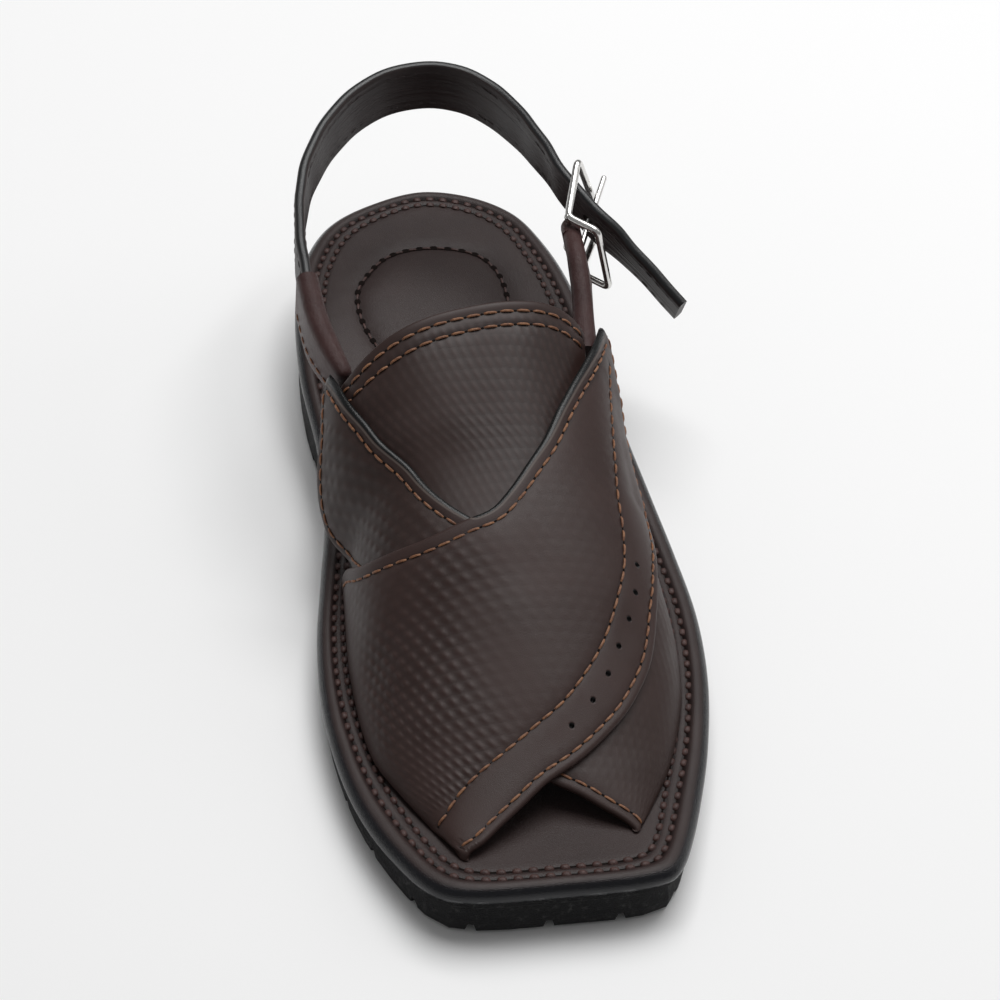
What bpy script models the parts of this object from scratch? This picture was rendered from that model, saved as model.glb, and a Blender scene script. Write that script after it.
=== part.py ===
"""Peshawari chappal, the wearer's left shoe, unbent and empty.

Metres, +Z up. The toe points to -Y and the lateral (outer) side to +X. The origin is on
the floor under the middle of the heel, a sixth of the length in from the heel's end.
"""
import math

import bmesh
import bpy
from mathutils import Vector
from mathutils.geometry import delaunay_2d_cdt

# Driving sizes of the sole and of the wrapped board on it
LENGTH = 0.285
BALL_WIDTH = 0.107
HEEL_SEAT = 0.027
FORE_SEAT = 0.0140
TOE_SPRING = 0.0040
TREAD_SPRING = 0.0005
BOARD = 0.0055
LUG = 0.0035
LUG_PITCH = 0.0195
TREAD_INSET = 0.0014
HEEL_END = LENGTH / 6

# Driving sizes of the upper, the strap and the buckle
INSTEP = 0.080
LEATHER = 0.0022
TONGUE = 0.0018
STRAP_WIDTH = 0.017
STRAP_THICK = 0.0030
SLEEVE_THICK = 0.0064
SLEEVE_POCKET = 0.0100
LOOP_THICK = 0.0056
WIRE = 0.0011
PRONG_WIRE = 0.0009
BAR_LENGTH = 0.0230

# What separates two pieces that touch
GAP = 0.0003

# Parts of the mesh: points down one side of the sole, and the step of the upper's grid
SIDE_POINTS = 46
UPPER_GRID = 0.0064
PANEL_STEP = 0.0042
DEGREE = 0.00065

# Outline of the rim. Station from heel to toe as a share of LENGTH, half widths as shares of
# BALL_WIDTH on the medial and the lateral side.
OUTLINE = (
    # station, medial, lateral
    (0.016, 0.120, 0.180),
    (0.051, 0.262, 0.290),
    (0.107, 0.350, 0.355),
    (0.184, 0.400, 0.402),
    (0.289, 0.416, 0.430),
    (0.395, 0.395, 0.458),
    (0.482, 0.400, 0.488),
    (0.570, 0.436, 0.514),
    (0.658, 0.470, 0.526),
    (0.746, 0.479, 0.507),
    (0.833, 0.455, 0.458),
    (0.893, 0.414, 0.409),
    (0.942, 0.358, 0.362),
    (0.975, 0.306, 0.322),
    (0.990, 0.262, 0.290),
    (0.998, 0.190, 0.220),
)
HEEL_TIP = 0.030
TOE_TIP = 0.020

# Sections of the vamp over the foot. Half widths as shares of BALL_WIDTH, ridge height as a
# share of INSTEP, and the power of the rounded section (2 is an ellipse, more is squarer).
VAMP = (
    # station, medial, lateral, ridge, power
    (0.970, 0.140, 0.160, 0.194, 1.90),
    (0.942, 0.201, 0.220, 0.223, 1.90),
    (0.914, 0.238, 0.265, 0.254, 1.90),
    (0.865, 0.307, 0.339, 0.319, 1.90),
    (0.816, 0.362, 0.389, 0.400, 1.90),
    (0.763, 0.379, 0.426, 0.488, 1.95),
    (0.711, 0.383, 0.437, 0.575, 2.10),
    (0.658, 0.376, 0.430, 0.654, 2.25),
    (0.588, 0.366, 0.408, 0.756, 2.45),
    (0.542, 0.421, 0.396, 0.838, 2.60),
    (0.500, 0.443, 0.391, 0.916, 2.70),
    (0.458, 0.432, 0.393, 0.991, 2.80),
    (0.388, 0.414, 0.393, 1.100, 2.90),
)

# Edges of the two crossing panels and of the tongue. Degrees around the section from the
# medial foot of the vamp (0) over the ridge (90) to the lateral foot (180), and station.
OVER_FRONT = (
    (0, 0.951), (38, 0.943), (57, 0.931), (77, 0.912), (91.5, 0.893), (106, 0.876),
    (119, 0.853), (130, 0.826), (137, 0.794), (141, 0.760), (143.5, 0.723), (147, 0.685),
    (150.5, 0.655), (154, 0.615), (157, 0.570), (157.5, 0.520), (156, 0.470), (152, 0.430),
    (148, 0.412),
)
OVER_REAR = (
    (141.5, 0.424), (133, 0.470), (126.5, 0.502), (111.5, 0.560), (97.5, 0.603),
    (89, 0.628), (81.5, 0.645), (74, 0.650), (61, 0.656), (51.5, 0.655), (36.5, 0.645),
    (27, 0.632), (11.5, 0.597), (0, 0.579),
)
UNDER_FRONT = (
    (180, 0.938), (165, 0.935), (127.5, 0.918), (108, 0.903), (92, 0.889), (77, 0.866),
    (52, 0.780), (26, 0.652), (10, 0.590), (8.5, 0.569), (9.5, 0.549), (14, 0.524),
    (19, 0.510), (23.5, 0.497), (27, 0.481), (28.5, 0.462), (29.5, 0.448),
)
UNDER_REAR = (
    (35, 0.443), (43, 0.487), (49, 0.526), (53.3, 0.565), (61, 0.606), (73.5, 0.643),
    (90, 0.670), (115, 0.680), (140, 0.660), (160, 0.630), (180, 0.605),
)
TONGUE_REAR = (
    (35, 0.461), (43, 0.465), (52.5, 0.463), (64, 0.458), (78, 0.451), (96, 0.444),
    (110, 0.440), (127, 0.434), (139.5, 0.431),
)
TONGUE_FRONT = ((48, 0.680), (90, 0.735), (130, 0.680))
TONGUE_ROWS = 9
TONGUE_COLUMNS = 16

# Path of the heel strap's upper edge, with the direction of the strap's width from its
# upper to its lower edge. It starts inside the sleeve on the medial side and goes round the
# heel. Side, station and height are shares of BALL_WIDTH, LENGTH and INSTEP.
STRAP = (
    # side, station, height, across x, y, z
    (-0.398, 0.3544, 0.8125, 0.00, 0.00, -1.00),
    (-0.404, 0.3211, 0.8313, 0.00, 0.00, -1.00),
    (-0.405, 0.2649, 0.8660, 0.00, 0.00, -1.00),
    (-0.389, 0.2018, 0.9000, 0.00, 0.00, -1.00),
    (-0.349, 0.1500, 0.9360, 0.00, 0.00, -1.00),
    (-0.287, 0.1060, 0.9680, 0.00, 0.01, -1.00),
    (-0.206, 0.0700, 0.9930, 0.00, 0.02, -1.00),
    (-0.107, 0.0450, 1.0120, 0.00, 0.04, -1.00),
    (0.000, 0.0370, 1.0200, 0.00, 0.05, -1.00),
    (0.105, 0.0450, 1.0160, 0.02, 0.05, -1.00),
    (0.190, 0.0730, 1.0000, 0.06, 0.04, -1.00),
    (0.254, 0.1140, 0.9813, 0.12, 0.03, -1.00),
    (0.299, 0.1649, 0.9625, 0.18, 0.05, -1.00),
)
STRAP_STEP = 0.0085

# Top of the buckle's centre bar, in the same shares, and the bar's direction downward. What
# goes by the bar is placed from its top, in shares of BAR_LENGTH: the corners of the frame,
# the prong's tip, and the strap on its way through the frame to its free end.
BAR_TOP_SHARES = (0.3224, 0.2772, 0.8938)
BAR_DIRECTION = Vector((0.231, 0.069, -0.970)).normalized()
BACK_TOP = (0.240, 0.760, 0.320)
BACK_FOOT = (0.400, 0.770, 0.220)
FRONT_HALF = (0.322, -0.335, 0.000)
PRONG_TIP = (0.640, 0.940, -0.120)
CORNER_RADIUS = 0.0022
STRAP_PAST_BAR = (
    # x, y, z, across x, y, z
    (0.048, 0.826, 0.165, 0.23, 0.07, -0.97),
    (0.317, 0.361, -0.013, 0.22, 0.16, -0.96),
    (0.839, -0.204, -0.391, 0.14, 0.50, -0.85),
    (1.409, -0.852, -0.848, 0.06, 0.64, -0.77),
)

# Top edges of the medial sleeve and of the loop that holds the buckle, with their sections:
# heights as shares of STRAP_WIDTH, thicknesses of SLEEVE_THICK and LOOP_THICK
SLEEVE = (
    # side, station, height of the top edge, height, thickness
    (-0.342, 0.4370, 0.735, 0.735, 0.760),
    (-0.362, 0.4175, 0.765, 0.882, 0.920),
    (-0.391, 0.3772, 0.810, 1.106, 1.000),
    (-0.404, 0.3211, 0.850, 1.176, 1.000),
)
LOOP = (
    # side, station, height of the top edge, height, thickness
    (0.312, 0.4291, 0.7375, 0.647, 1.250),
    (0.314, 0.4070, 0.7650, 0.765, 1.160),
    (0.321, 0.3702, 0.8125, 0.882, 1.040),
    (0.322, 0.3246, 0.8688, 0.941, 1.000),
)


def material(name, colour, roughness, metallic=0.0):
    """Principled material with the part's colour."""
    made = bpy.data.materials.new(name)
    made.use_nodes = True
    shader = made.node_tree.nodes["Principled BSDF"]
    shader.inputs["Base Color"].default_value = (*colour, 1.0)
    shader.inputs["Roughness"].default_value = roughness
    shader.inputs["Metallic"].default_value = metallic
    return made


def add_mesh(name, points, faces, look):
    """One object from points and faces, shaded smooth between its sharp edges."""
    mesh = bpy.data.meshes.new(name)
    mesh.from_pydata([tuple(p) for p in points], [], faces)
    mesh.validate()
    if look is not None:
        mesh.materials.append(look)
    mesh.shade_smooth()
    mesh.set_sharp_from_angle(angle=math.radians(40))
    made = bpy.data.objects.new(name, mesh)
    bpy.context.scene.collection.objects.link(made)
    return made


def hide_tool(tool):
    """Mark an object as a cutter or a second body that only a modifier reads."""
    tool.hide_render = True
    tool.display_type = "WIRE"


def boolean(target, tool, operation):
    """Boolean modifier with the exact solver."""
    step = target.modifiers.new(tool.name, "BOOLEAN")
    step.operation = operation
    step.solver = "EXACT"
    step.object = tool


def between(rows, at):
    """Monotone cubic through rows of (station, value, ...), read at one station."""
    rows = sorted(rows)
    count = len(rows)
    at = min(max(at, rows[0][0]), rows[-1][0])
    index = 0
    while index < count - 2 and at > rows[index + 1][0]:
        index += 1
    values = []
    for column in range(1, len(rows[0])):
        slopes = []
        for k in range(count - 1):
            slopes.append((rows[k + 1][column] - rows[k][column]) / (rows[k + 1][0] - rows[k][0]))
        tangents = []
        for k in (index, index + 1):
            if k == 0:
                tangents.append(slopes[0])
            elif k == count - 1:
                tangents.append(slopes[-1])
            elif slopes[k - 1] * slopes[k] <= 0:
                tangents.append(0.0)
            else:
                tangents.append(2 * slopes[k - 1] * slopes[k] / (slopes[k - 1] + slopes[k]))
        span = rows[index + 1][0] - rows[index][0]
        t = (at - rows[index][0]) / span
        values.append(
            (2 * t ** 3 - 3 * t ** 2 + 1) * rows[index][column]
            + (t ** 3 - 2 * t ** 2 + t) * span * tangents[0]
            + (3 * t ** 2 - 2 * t ** 3) * rows[index + 1][column]
            + (t ** 3 - t ** 2) * span * tangents[1]
        )
    return values


def through(points, steps=8, closed=False):
    """Centripetal Catmull-Rom curve through points of any dimension, densely sampled."""
    points = [Vector(p) for p in points]
    if closed:
        ring = [points[-1]] + points + points[:2]
    else:
        ring = [points[0] * 2 - points[1]] + points + [points[-1] * 2 - points[-2]]
    sampled = []
    for a, b, c, d in zip(ring, ring[1:], ring[2:], ring[3:]):
        k1 = max((b - a).length, 1e-9) ** 0.5
        k2 = k1 + max((c - b).length, 1e-9) ** 0.5
        k3 = k2 + max((d - c).length, 1e-9) ** 0.5
        for step in range(steps):
            k = k1 + (k2 - k1) * step / steps
            ab = a + (b - a) * (k / k1)
            bc = b + (c - b) * ((k - k1) / (k2 - k1))
            cd = c + (d - c) * ((k - k2) / (k3 - k2))
            abc = ab + (bc - ab) * (k / k2)
            bcd = bc + (cd - bc) * ((k - k1) / (k3 - k1))
            sampled.append(abc + (bcd - abc) * ((k - k1) / (k2 - k1)))
    if not closed:
        sampled.append(points[-1])
    return sampled


def evenly(points, count, measure=3):
    """The same polyline with count even steps, measured over its first coordinates."""
    lengths = [0.0]
    for a, b in zip(points, points[1:]):
        gap = math.sqrt(sum((b[k] - a[k]) ** 2 for k in range(min(measure, len(a)))))
        lengths.append(lengths[-1] + gap)
    made = []
    index = 0
    for step in range(count + 1):
        want = lengths[-1] * step / count
        while index < len(points) - 2 and lengths[index + 1] < want:
            index += 1
        part = (want - lengths[index]) / max(lengths[index + 1] - lengths[index], 1e-12)
        made.append(points[index].lerp(points[index + 1], part))
    return made


def y_at(station):
    """Y of a station: 0 at the heel's end, 1 at the toe."""
    return HEEL_END - station * LENGTH


def placed(side, station, height):
    """Point from shares of the ball width, the length and the instep."""
    return Vector((side * BALL_WIDTH, y_at(station), height * INSTEP))


def by_bar(shares):
    """Point set off from the top of the buckle's bar by shares of the bar's length."""
    return placed(*BAR_TOP_SHARES) + Vector(shares) * BAR_LENGTH


def station_at(y):
    """Station of a Y."""
    return (HEEL_END - y) / LENGTH


def half_width(y):
    """Broad half width of the sole at a Y, never less than at the heel's middle."""
    medial, lateral = between(OUTLINE, station_at(y))
    return max((medial + lateral) / 2, 0.40) * BALL_WIDTH


def toe_bend(y):
    """How far a Y lies in the bend of the toe: 0 up to its start, 1 at the tip."""
    spring_start = HEEL_END - 0.83 * LENGTH
    return min(max((spring_start - y) / (0.17 * LENGTH), 0), 1)


def seat(y):
    """Height of the rim's crown: flat forefoot, toe spring, and a soft rise to the heel."""
    rise_start = HEEL_END - 0.60 * LENGTH
    rise_length = 0.46 * LENGTH
    rise = min(max((y - rise_start) / rise_length, 0), 1)
    return FORE_SEAT + (HEEL_SEAT - FORE_SEAT) * rise ** 2 * (3 - 2 * rise) + TOE_SPRING * toe_bend(y) ** 2


def tread(y):
    """Height of the lugs' faces: flat, with a slight lift at the toe."""
    return TREAD_SPRING * toe_bend(y) ** 2


def outline_ring():
    """Points of the rim's outline: heel tip, medial side, toe, lateral side."""
    medial = [(-BALL_WIDTH * m, y_at(s)) for s, m, l in OUTLINE]
    lateral = [(BALL_WIDTH * l, y_at(s)) for s, m, l in OUTLINE]
    heel = (HEEL_TIP * BALL_WIDTH, y_at(0))
    toe = (TOE_TIP * BALL_WIDTH, y_at(1))
    ring = through([heel] + medial + [toe] + lateral[::-1], closed=True)
    steps = 8
    turn = steps * (len(medial) + 1)
    down = evenly(ring[:turn + 1], SIDE_POINTS, measure=2)
    up = evenly(ring[turn:] + [ring[0]], SIDE_POINTS, measure=2)
    return down[:-1] + up[:-1]


RIM = outline_ring()


def inset_ring(inset, height):
    """The outline drawn in by inset, with its height from a function of Y."""
    middle = y_at(0.5)
    shrink = 1 - inset / (LENGTH / 2)
    points = []
    for x, y in RIM:
        wide = 1 - inset / half_width(y)
        where = middle + (y - middle) * shrink
        points.append(Vector((x * wide, where, height(where))))
    return points


def cap(points, start, count):
    """Triangles of a cap over one ring, worked out in plan."""
    plan = [Vector(points[start + k][:2]) for k in range(count)]
    border = [(k, (k + 1) % count) for k in range(count)]
    _, _, triangles, _, _, _ = delaunay_2d_cdt(plan, border, [], 1, 1e-9)
    return [tuple(start + k for k in triangle) for triangle in triangles]


def loft(name, rings, look, paired=True):
    """Closed body through rings of equal count, with a cap at both ends."""
    count = len(rings[0])
    points = [p for ring in rings for p in ring]
    faces = []
    for level in range(len(rings) - 1):
        low = level * count
        high = low + count
        for k in range(count):
            n = (k + 1) % count
            faces.append((low + k, low + n, high + n, high + k))
    last = (len(rings) - 1) * count
    for start in (0, last):
        if paired:
            faces.extend(cap(points, start, count))
        else:
            faces.append(tuple(start + k for k in range(count)))
    made = add_mesh(name, points, faces, look)
    facing_out(made)
    return made


def facing_out(made):
    """Turn the faces of a closed mesh outward."""
    work = bmesh.new()
    work.from_mesh(made.data)
    bmesh.ops.recalc_face_normals(work, faces=work.faces)
    work.to_mesh(made.data)
    work.free()
    made.data.shade_smooth()
    made.data.set_sharp_from_angle(angle=math.radians(40))


def prism(points, faces, corners_low, corners_high):
    """Add a closed four-sided prism between two quads to lists of points and faces."""
    start = len(points)
    points.extend(corners_low)
    points.extend(corners_high)
    faces.append((start + 3, start + 2, start + 1, start))
    faces.append((start + 4, start + 5, start + 6, start + 7))
    for k in range(4):
        n = (k + 1) % 4
        faces.append((start + k, start + n, start + n + 4, start + k + 4))


# Waist of the tread between the forefoot lugs and the heel block, as stations
WAIST_FRONT = 0.545
WAIST_REAR = 0.345

# Notches between the lugs at the edge, and the grooves across the middle of the tread
NOTCH_REACH = 0.0070
NOTCH_FOOT = 0.0021
NOTCH_ROOF = 0.0008
GROOVES = (0.12, 0.19, 0.26, 0.62, 0.69, 0.76, 0.83)
GROOVE_HALF = 0.0020
GROOVE_REACH = 0.19
UNDER_FLOOR = -0.002


def block(points, faces, quad, roof):
    """Add an upright block from under the floor to a roof, over a quad in plan."""
    low = [(x, y, UNDER_FLOOR) for x, y in quad]
    prism(points, faces, low, [(x, y, roof) for x, y in quad])


def build_outsole():
    """Rubber outsole: heel block, forefoot, and a side with a rib under the board."""
    look = material("rubber_outsole", (0.020, 0.020, 0.021), 0.55)
    under = [
        (TREAD_INSET + 0.0008, lambda y: tread(y)),
        (TREAD_INSET, lambda y: tread(y) + 0.0009),
        (TREAD_INSET - 0.0004, lambda y: tread(y) + LUG + 0.0006),
        (0.0017, lambda y: seat(y) - BOARD - GAP - 0.0022),
        (0.0011, lambda y: seat(y) - BOARD - GAP - 0.0014),
        (0.0015, lambda y: seat(y) - BOARD - GAP),
    ]
    body = loft("outsole", [inset_ring(inset, height) for inset, height in under], look)
    points = []
    faces = []
    walk = evenly([Vector((x, y)) for x, y in RIM + RIM[:1]], 400, measure=2)
    perimeter = sum((b - a).length for a, b in zip(walk, walk[1:]))
    count = round(perimeter / LUG_PITCH)
    for k in range(count):
        place = (k + 0.5) * 400 / count
        here = walk[int(place)]
        ahead = walk[int(place) + 1]
        station = station_at(here[1])
        if WAIST_REAR - 0.02 < station < WAIST_FRONT + 0.02:
            continue
        along = (ahead - here).normalized()
        inward = Vector((along[1], -along[0]))
        if inward.dot(Vector((0, y_at(0.5))) - here) < 0:
            inward = -inward
        base = tread(here[1])
        corners = []
        outer = here - inward * 0.003
        inner = here + inward * NOTCH_REACH
        for half, z in ((NOTCH_FOOT, base + UNDER_FLOOR), (NOTCH_ROOF, base + LUG)):
            aside = along * half
            quad = (outer - aside, outer + aside, inner + aside, inner - aside)
            corners.append([(p[0], p[1], z) for p in quad])
        prism(points, faces, corners[0], corners[1])
    front = y_at(WAIST_FRONT)
    rear = y_at(WAIST_REAR)
    wide = BALL_WIDTH * 0.6
    block(points, faces, ((-wide, front), (wide, front), (wide, rear), (-wide, rear)), LUG)
    reach = GROOVE_REACH * BALL_WIDTH
    for station in GROOVES:
        y = y_at(station)
        low = y - GROOVE_HALF
        high = y + GROOVE_HALF
        block(points, faces, ((-reach, low), (reach, low), (reach, high), (-reach, high)), LUG * 0.8)
    cutter = add_mesh("tread_cutter", points, faces, None)
    facing_out(cutter)
    hide_tool(cutter)
    boolean(body, cutter, "DIFFERENCE")


# Profile of the leather-wrapped board from its underside round the rim to its middle
BOARD_PROFILE = (
    # inset, drop below the crown
    (0.0018, 0.0055),
    (0.0004, 0.0050),
    (0.0000, 0.0030),
    (0.0007, 0.0013),
    (0.0020, 0.0003),
    (0.0034, 0.0000),
    (0.0055, 0.0007),
    (0.0086, 0.0010),
    (0.0160, 0.0010),
)
SEAT_DROP = 0.0010


def build_footbed():
    """Leather-wrapped board with its rolled rim, the shoe's footbed and welt in one piece."""
    look = material("footbed_leather", (0.055, 0.038, 0.034), 0.45)
    rings = []
    for inset, drop in BOARD_PROFILE:
        rings.append(inset_ring(inset, lambda y, drop=drop: seat(y) - drop))
    loft("footbed", rings, look)


def vamp_point(around, station, lift=0.0):
    """Point of the vamp's surface, lifted along its normal."""
    medial, lateral, ridge, power = between(VAMP, station)
    y = y_at(station)
    foot = seat(y) - SEAT_DROP + GAP + 0.0002
    middle = (lateral - medial) / 2 * BALL_WIDTH
    half = (lateral + medial) / 2 * BALL_WIDTH
    c = math.cos(math.radians(around))
    s = math.sin(math.radians(around))
    reach = (abs(c) ** power + abs(s) ** power) ** (-1 / power)
    point = Vector((middle - half * reach * c, y, foot + (ridge * INSTEP - foot) * reach * s))
    if lift:
        floor = point.z if s < 0.01 else foot
        da = vamp_point(min(around + 1, 180), station) - vamp_point(max(around - 1, 0), station)
        ds = vamp_point(around, station + 0.004) - vamp_point(around, station - 0.004)
        normal = ds.cross(da).normalized()
        if around < 3 or around > 177:
            normal.z = 0
            normal.normalize()
        point = point + normal * lift
        point.z = max(point.z, floor)
    return point


def flat(rows):
    """Edge rows as a smooth curve in the flat of the vamp: metres around, metres along."""
    return through([(around * DEGREE, y_at(station)) for around, station in rows])


def panel_outline(front, rear):
    """Closed outline of a panel in the flat, in even steps."""
    lines = []
    for rows in (front, rear):
        line = flat(rows)
        length = sum((b - a).length for a, b in zip(line, line[1:]))
        lines.append(evenly(line, max(2, round(length / PANEL_STEP)), measure=2))
    outline = lines[0] + lines[1]
    start, end = outline[-1], outline[0]
    steps = max(1, round((end - start).length / PANEL_STEP))
    for k in range(1, steps):
        outline.append(start.lerp(end, k / steps))
    return outline


def inside(point, outline):
    """Whether a flat point lies inside an outline."""
    x, y = point
    found = False
    for a, b in zip(outline, outline[1:] + outline[:1]):
        if (a[1] > y) != (b[1] > y):
            if x < a[0] + (y - a[1]) * (b[0] - a[0]) / (b[1] - a[1]):
                found = not found
    return found


def away(point, outline):
    """Distance of a flat point from an outline."""
    point = Vector(point)
    best = 1.0
    for a, b in zip(outline, outline[1:] + outline[:1]):
        edge = b - a
        t = min(max((point - a).dot(edge) / max(edge.length_squared, 1e-12), 0), 1)
        best = min(best, (a + edge * t - point).length)
    return best


def build_upper():
    """The vamp: two leather panels that cross over the foot, joined where they overlap.

    The under panel runs from the lateral foot of the vamp forward of the instep to the
    medial waist, the over panel from the medial foot to the lateral waist. The surface
    lies between them: the under panel is one leather below it, the over panel one above.
    """
    look = material("upper_leather", (0.060, 0.036, 0.030), 0.50)
    over = panel_outline(OVER_FRONT, OVER_REAR)
    under = panel_outline(UNDER_FRONT, UNDER_REAR)
    places = [tuple(p) for p in over + under]
    edges = []
    for start, outline in ((0, over), (len(over), under)):
        for k in range(len(outline)):
            edges.append((start + k, start + (k + 1) % len(outline)))
    row = 0
    y = y_at(0.96)
    while y < y_at(0.40):
        x = 0.5 * UPPER_GRID * (1 + row % 2)
        while x < 180 * DEGREE:
            here = (x, y)
            if inside(here, over) or inside(here, under):
                if min(away(here, over), away(here, under)) > 0.45 * UPPER_GRID:
                    places.append(here)
            x += UPPER_GRID
        y += UPPER_GRID * 0.87
        row += 1
    flats, _, triangles, _, _, _ = delaunay_2d_cdt([Vector(p) for p in places], edges, [], 0, 1e-7)
    layers = {}
    for triangle in triangles:
        middle = sum((flats[k] for k in triangle), Vector((0, 0))) / 3
        in_over = inside(middle, over)
        in_under = inside(middle, under)
        if in_over or in_under:
            layers[tuple(triangle)] = (-1 if in_under else 0, 1 if in_over else 0)
    points = []
    index = {}

    def corner(place, level):
        """Index of a flat point lifted to the bottom, middle or top level."""
        if (place, level) not in index:
            index[(place, level)] = len(points)
            x, y = flats[place]
            points.append(vamp_point(x / DEGREE, station_at(y), level * LEATHER))
        return index[(place, level)]

    faces = []
    sides = {}
    for triangle, (low, high) in layers.items():
        a, b, c = triangle
        faces.append((corner(a, high), corner(b, high), corner(c, high)))
        faces.append((corner(c, low), corner(b, low), corner(a, low)))
        for p, q in ((a, b), (b, c), (c, a)):
            sides[(p, q)] = (low, high)
    for (p, q), (low, high) in sides.items():
        other = sides.get((q, p))
        for level in range(low, high):
            if other is None or not other[0] <= level < other[1]:
                lower = (corner(p, level), corner(q, level))
                upper = (corner(q, level + 1), corner(p, level + 1))
                faces.append(lower + upper)
    made = add_mesh("upper", points, faces, look)
    facing_out(made)


def build_tongue():
    """Tongue under both panels: an arched sheet that fills the V between them."""
    look = material("tongue_leather", (0.058, 0.035, 0.029), 0.50)
    rear = evenly(flat(TONGUE_REAR), TONGUE_COLUMNS, measure=2)
    front = evenly(flat(TONGUE_FRONT), TONGUE_COLUMNS, measure=2)
    top = -LEATHER - 2 * GAP
    points = []
    faces = []
    for lift in (top, top - TONGUE):
        for row in range(TONGUE_ROWS + 1):
            for column in range(TONGUE_COLUMNS + 1):
                x, y = rear[column].lerp(front[column], row / TONGUE_ROWS)
                points.append(vamp_point(x / DEGREE, station_at(y), lift))
    wide = TONGUE_COLUMNS + 1
    sheet = wide * (TONGUE_ROWS + 1)
    for row in range(TONGUE_ROWS):
        for column in range(TONGUE_COLUMNS):
            a = row * wide + column
            faces.append((a, a + 1, a + wide + 1, a + wide))
            faces.append((sheet + a + wide, sheet + a + wide + 1, sheet + a + 1, sheet + a))
    border = list(range(wide))
    border += [row * wide + TONGUE_COLUMNS for row in range(1, TONGUE_ROWS + 1)]
    border += [TONGUE_ROWS * wide + column for column in range(TONGUE_COLUMNS - 1, -1, -1)]
    border += [row * wide for row in range(TONGUE_ROWS - 1, 0, -1)]
    for a, b in zip(border, border[1:] + border[:1]):
        faces.append((a, b, sheet + b, sheet + a))
    made = add_mesh("tongue", points, faces, look)
    facing_out(made)


def band_section(centre, along, across, thick, high):
    """Eight-sided section of a flat band: thick through it and high across it."""
    across = (across - along * across.dot(along)).normalized()
    out = along.cross(across).normalized()
    cut = thick * 0.28
    shape = (
        (0.5 * thick - cut, 0.5 * high), (0.5 * thick, 0.5 * high - cut),
        (0.5 * thick, cut - 0.5 * high), (0.5 * thick - cut, -0.5 * high),
        (cut - 0.5 * thick, -0.5 * high), (-0.5 * thick, cut - 0.5 * high),
        (-0.5 * thick, 0.5 * high - cut), (cut - 0.5 * thick, 0.5 * high),
    )
    return [centre + out * a + across * b for a, b in shape]


def headings(points):
    """Unit direction of a path at each of its points."""
    made = []
    for k in range(len(points)):
        before = points[max(k - 1, 0)]
        after = points[min(k + 1, len(points) - 1)]
        made.append((after - before).normalized())
    return made


def build_strap():
    """Heel strap with its free end, and the holes punched for the prong."""
    look = material("strap_leather", (0.016, 0.015, 0.016), 0.45)
    rows = [(*placed(*row[:3]), *row[3:]) for row in STRAP]
    rows += [(*by_bar(row[:3]), *row[3:]) for row in STRAP_PAST_BAR]
    rows = through(rows)
    tops = [Vector(row[:3]) for row in rows]
    length = sum((b - a).length for a, b in zip(tops, tops[1:]))
    rows = evenly(rows, round(length / STRAP_STEP))
    centres = []
    widths = []
    for row in rows:
        across = Vector(row[3:6]).normalized()
        widths.append(across)
        centres.append(Vector(row[:3]) + across * STRAP_WIDTH / 2)
    rings = []
    for centre, along, across in zip(centres, headings(centres), widths):
        rings.append(band_section(centre, along, across, STRAP_THICK, STRAP_WIDTH))
    return loft("heel_strap", rings, look, paired=False)


def build_sleeve():
    """Folded leather sleeve on the medial side that the strap's end is sewn into."""
    look = material("sleeve_leather", (0.075, 0.042, 0.036), 0.40)
    down = Vector((0, 0, -1))
    rows = [(*placed(*row[:3]), row[3] * STRAP_WIDTH, row[4] * SLEEVE_THICK) for row in SLEEVE]
    rows = evenly(through(rows), 6)
    centres = [Vector(row[:3]) + down * row[3] / 2 for row in rows]
    along = headings(centres)
    rings = []
    for centre, heading, row in zip(centres, along, rows):
        rings.append(band_section(centre, heading, down, row[4], row[3]))
    mouth = centres[-1]
    inner = mouth - along[-1] * SLEEVE_POCKET
    slot_thick = STRAP_THICK + 2 * GAP
    slot_high = STRAP_WIDTH + 2 * GAP
    rings.append(band_section(mouth, along[-1], down, slot_thick, slot_high))
    rings.append(band_section(inner, along[-1], down, slot_thick, slot_high))
    loft("medial_sleeve", rings, look, paired=False)


def build_loop():
    """Folded leather loop on the lateral side, closed round the buckle's centre bar."""
    look = material("loop_leather", (0.070, 0.040, 0.034), 0.42)
    middle = by_bar((0, 0, 0)) + BAR_DIRECTION * BAR_LENGTH / 2
    rows = [(*placed(*row[:3]), row[3] * STRAP_WIDTH, row[4] * LOOP_THICK) for row in LOOP]
    rows = evenly(through(rows), 4)
    down = Vector((0, 0, -1))
    centres = []
    heights = []
    widths = []
    thicks = []
    for k, row in enumerate(rows):
        across = down.lerp(BAR_DIRECTION, k / (len(rows) - 1)).normalized()
        centres.append(Vector(row[:3]) + across * row[3] / 2)
        heights.append(row[3])
        widths.append(across)
        thicks.append(row[4])
    heading = (middle - centres[-1]).normalized()
    high = BAR_LENGTH - 5.2 * WIRE
    turn = LOOP_THICK / 2
    for share in (-0.9, 0.0, 0.5, 0.86, 0.98):
        centres.append(middle + heading * turn * share)
        heights.append(high)
        widths.append(BAR_DIRECTION)
        thicks.append(LOOP_THICK)
    along = headings(centres)
    rings = []
    for k, centre in enumerate(centres):
        reach = (centre - middle).dot(heading)
        thick = thicks[k]
        if reach > 0:
            thick = 2 * math.sqrt(max(turn ** 2 - reach ** 2, 0))
        direction = along[k] if k < len(rows) else heading
        rings.append(band_section(centre, direction, widths[k], thick, heights[k]))
    loop = loft("buckle_loop", rings, look, paired=False)
    half = BAR_DIRECTION * BAR_LENGTH
    bore = rod("loop_bore", middle - half, middle + half, WIRE + GAP)
    boolean(loop, bore, "DIFFERENCE")


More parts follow.
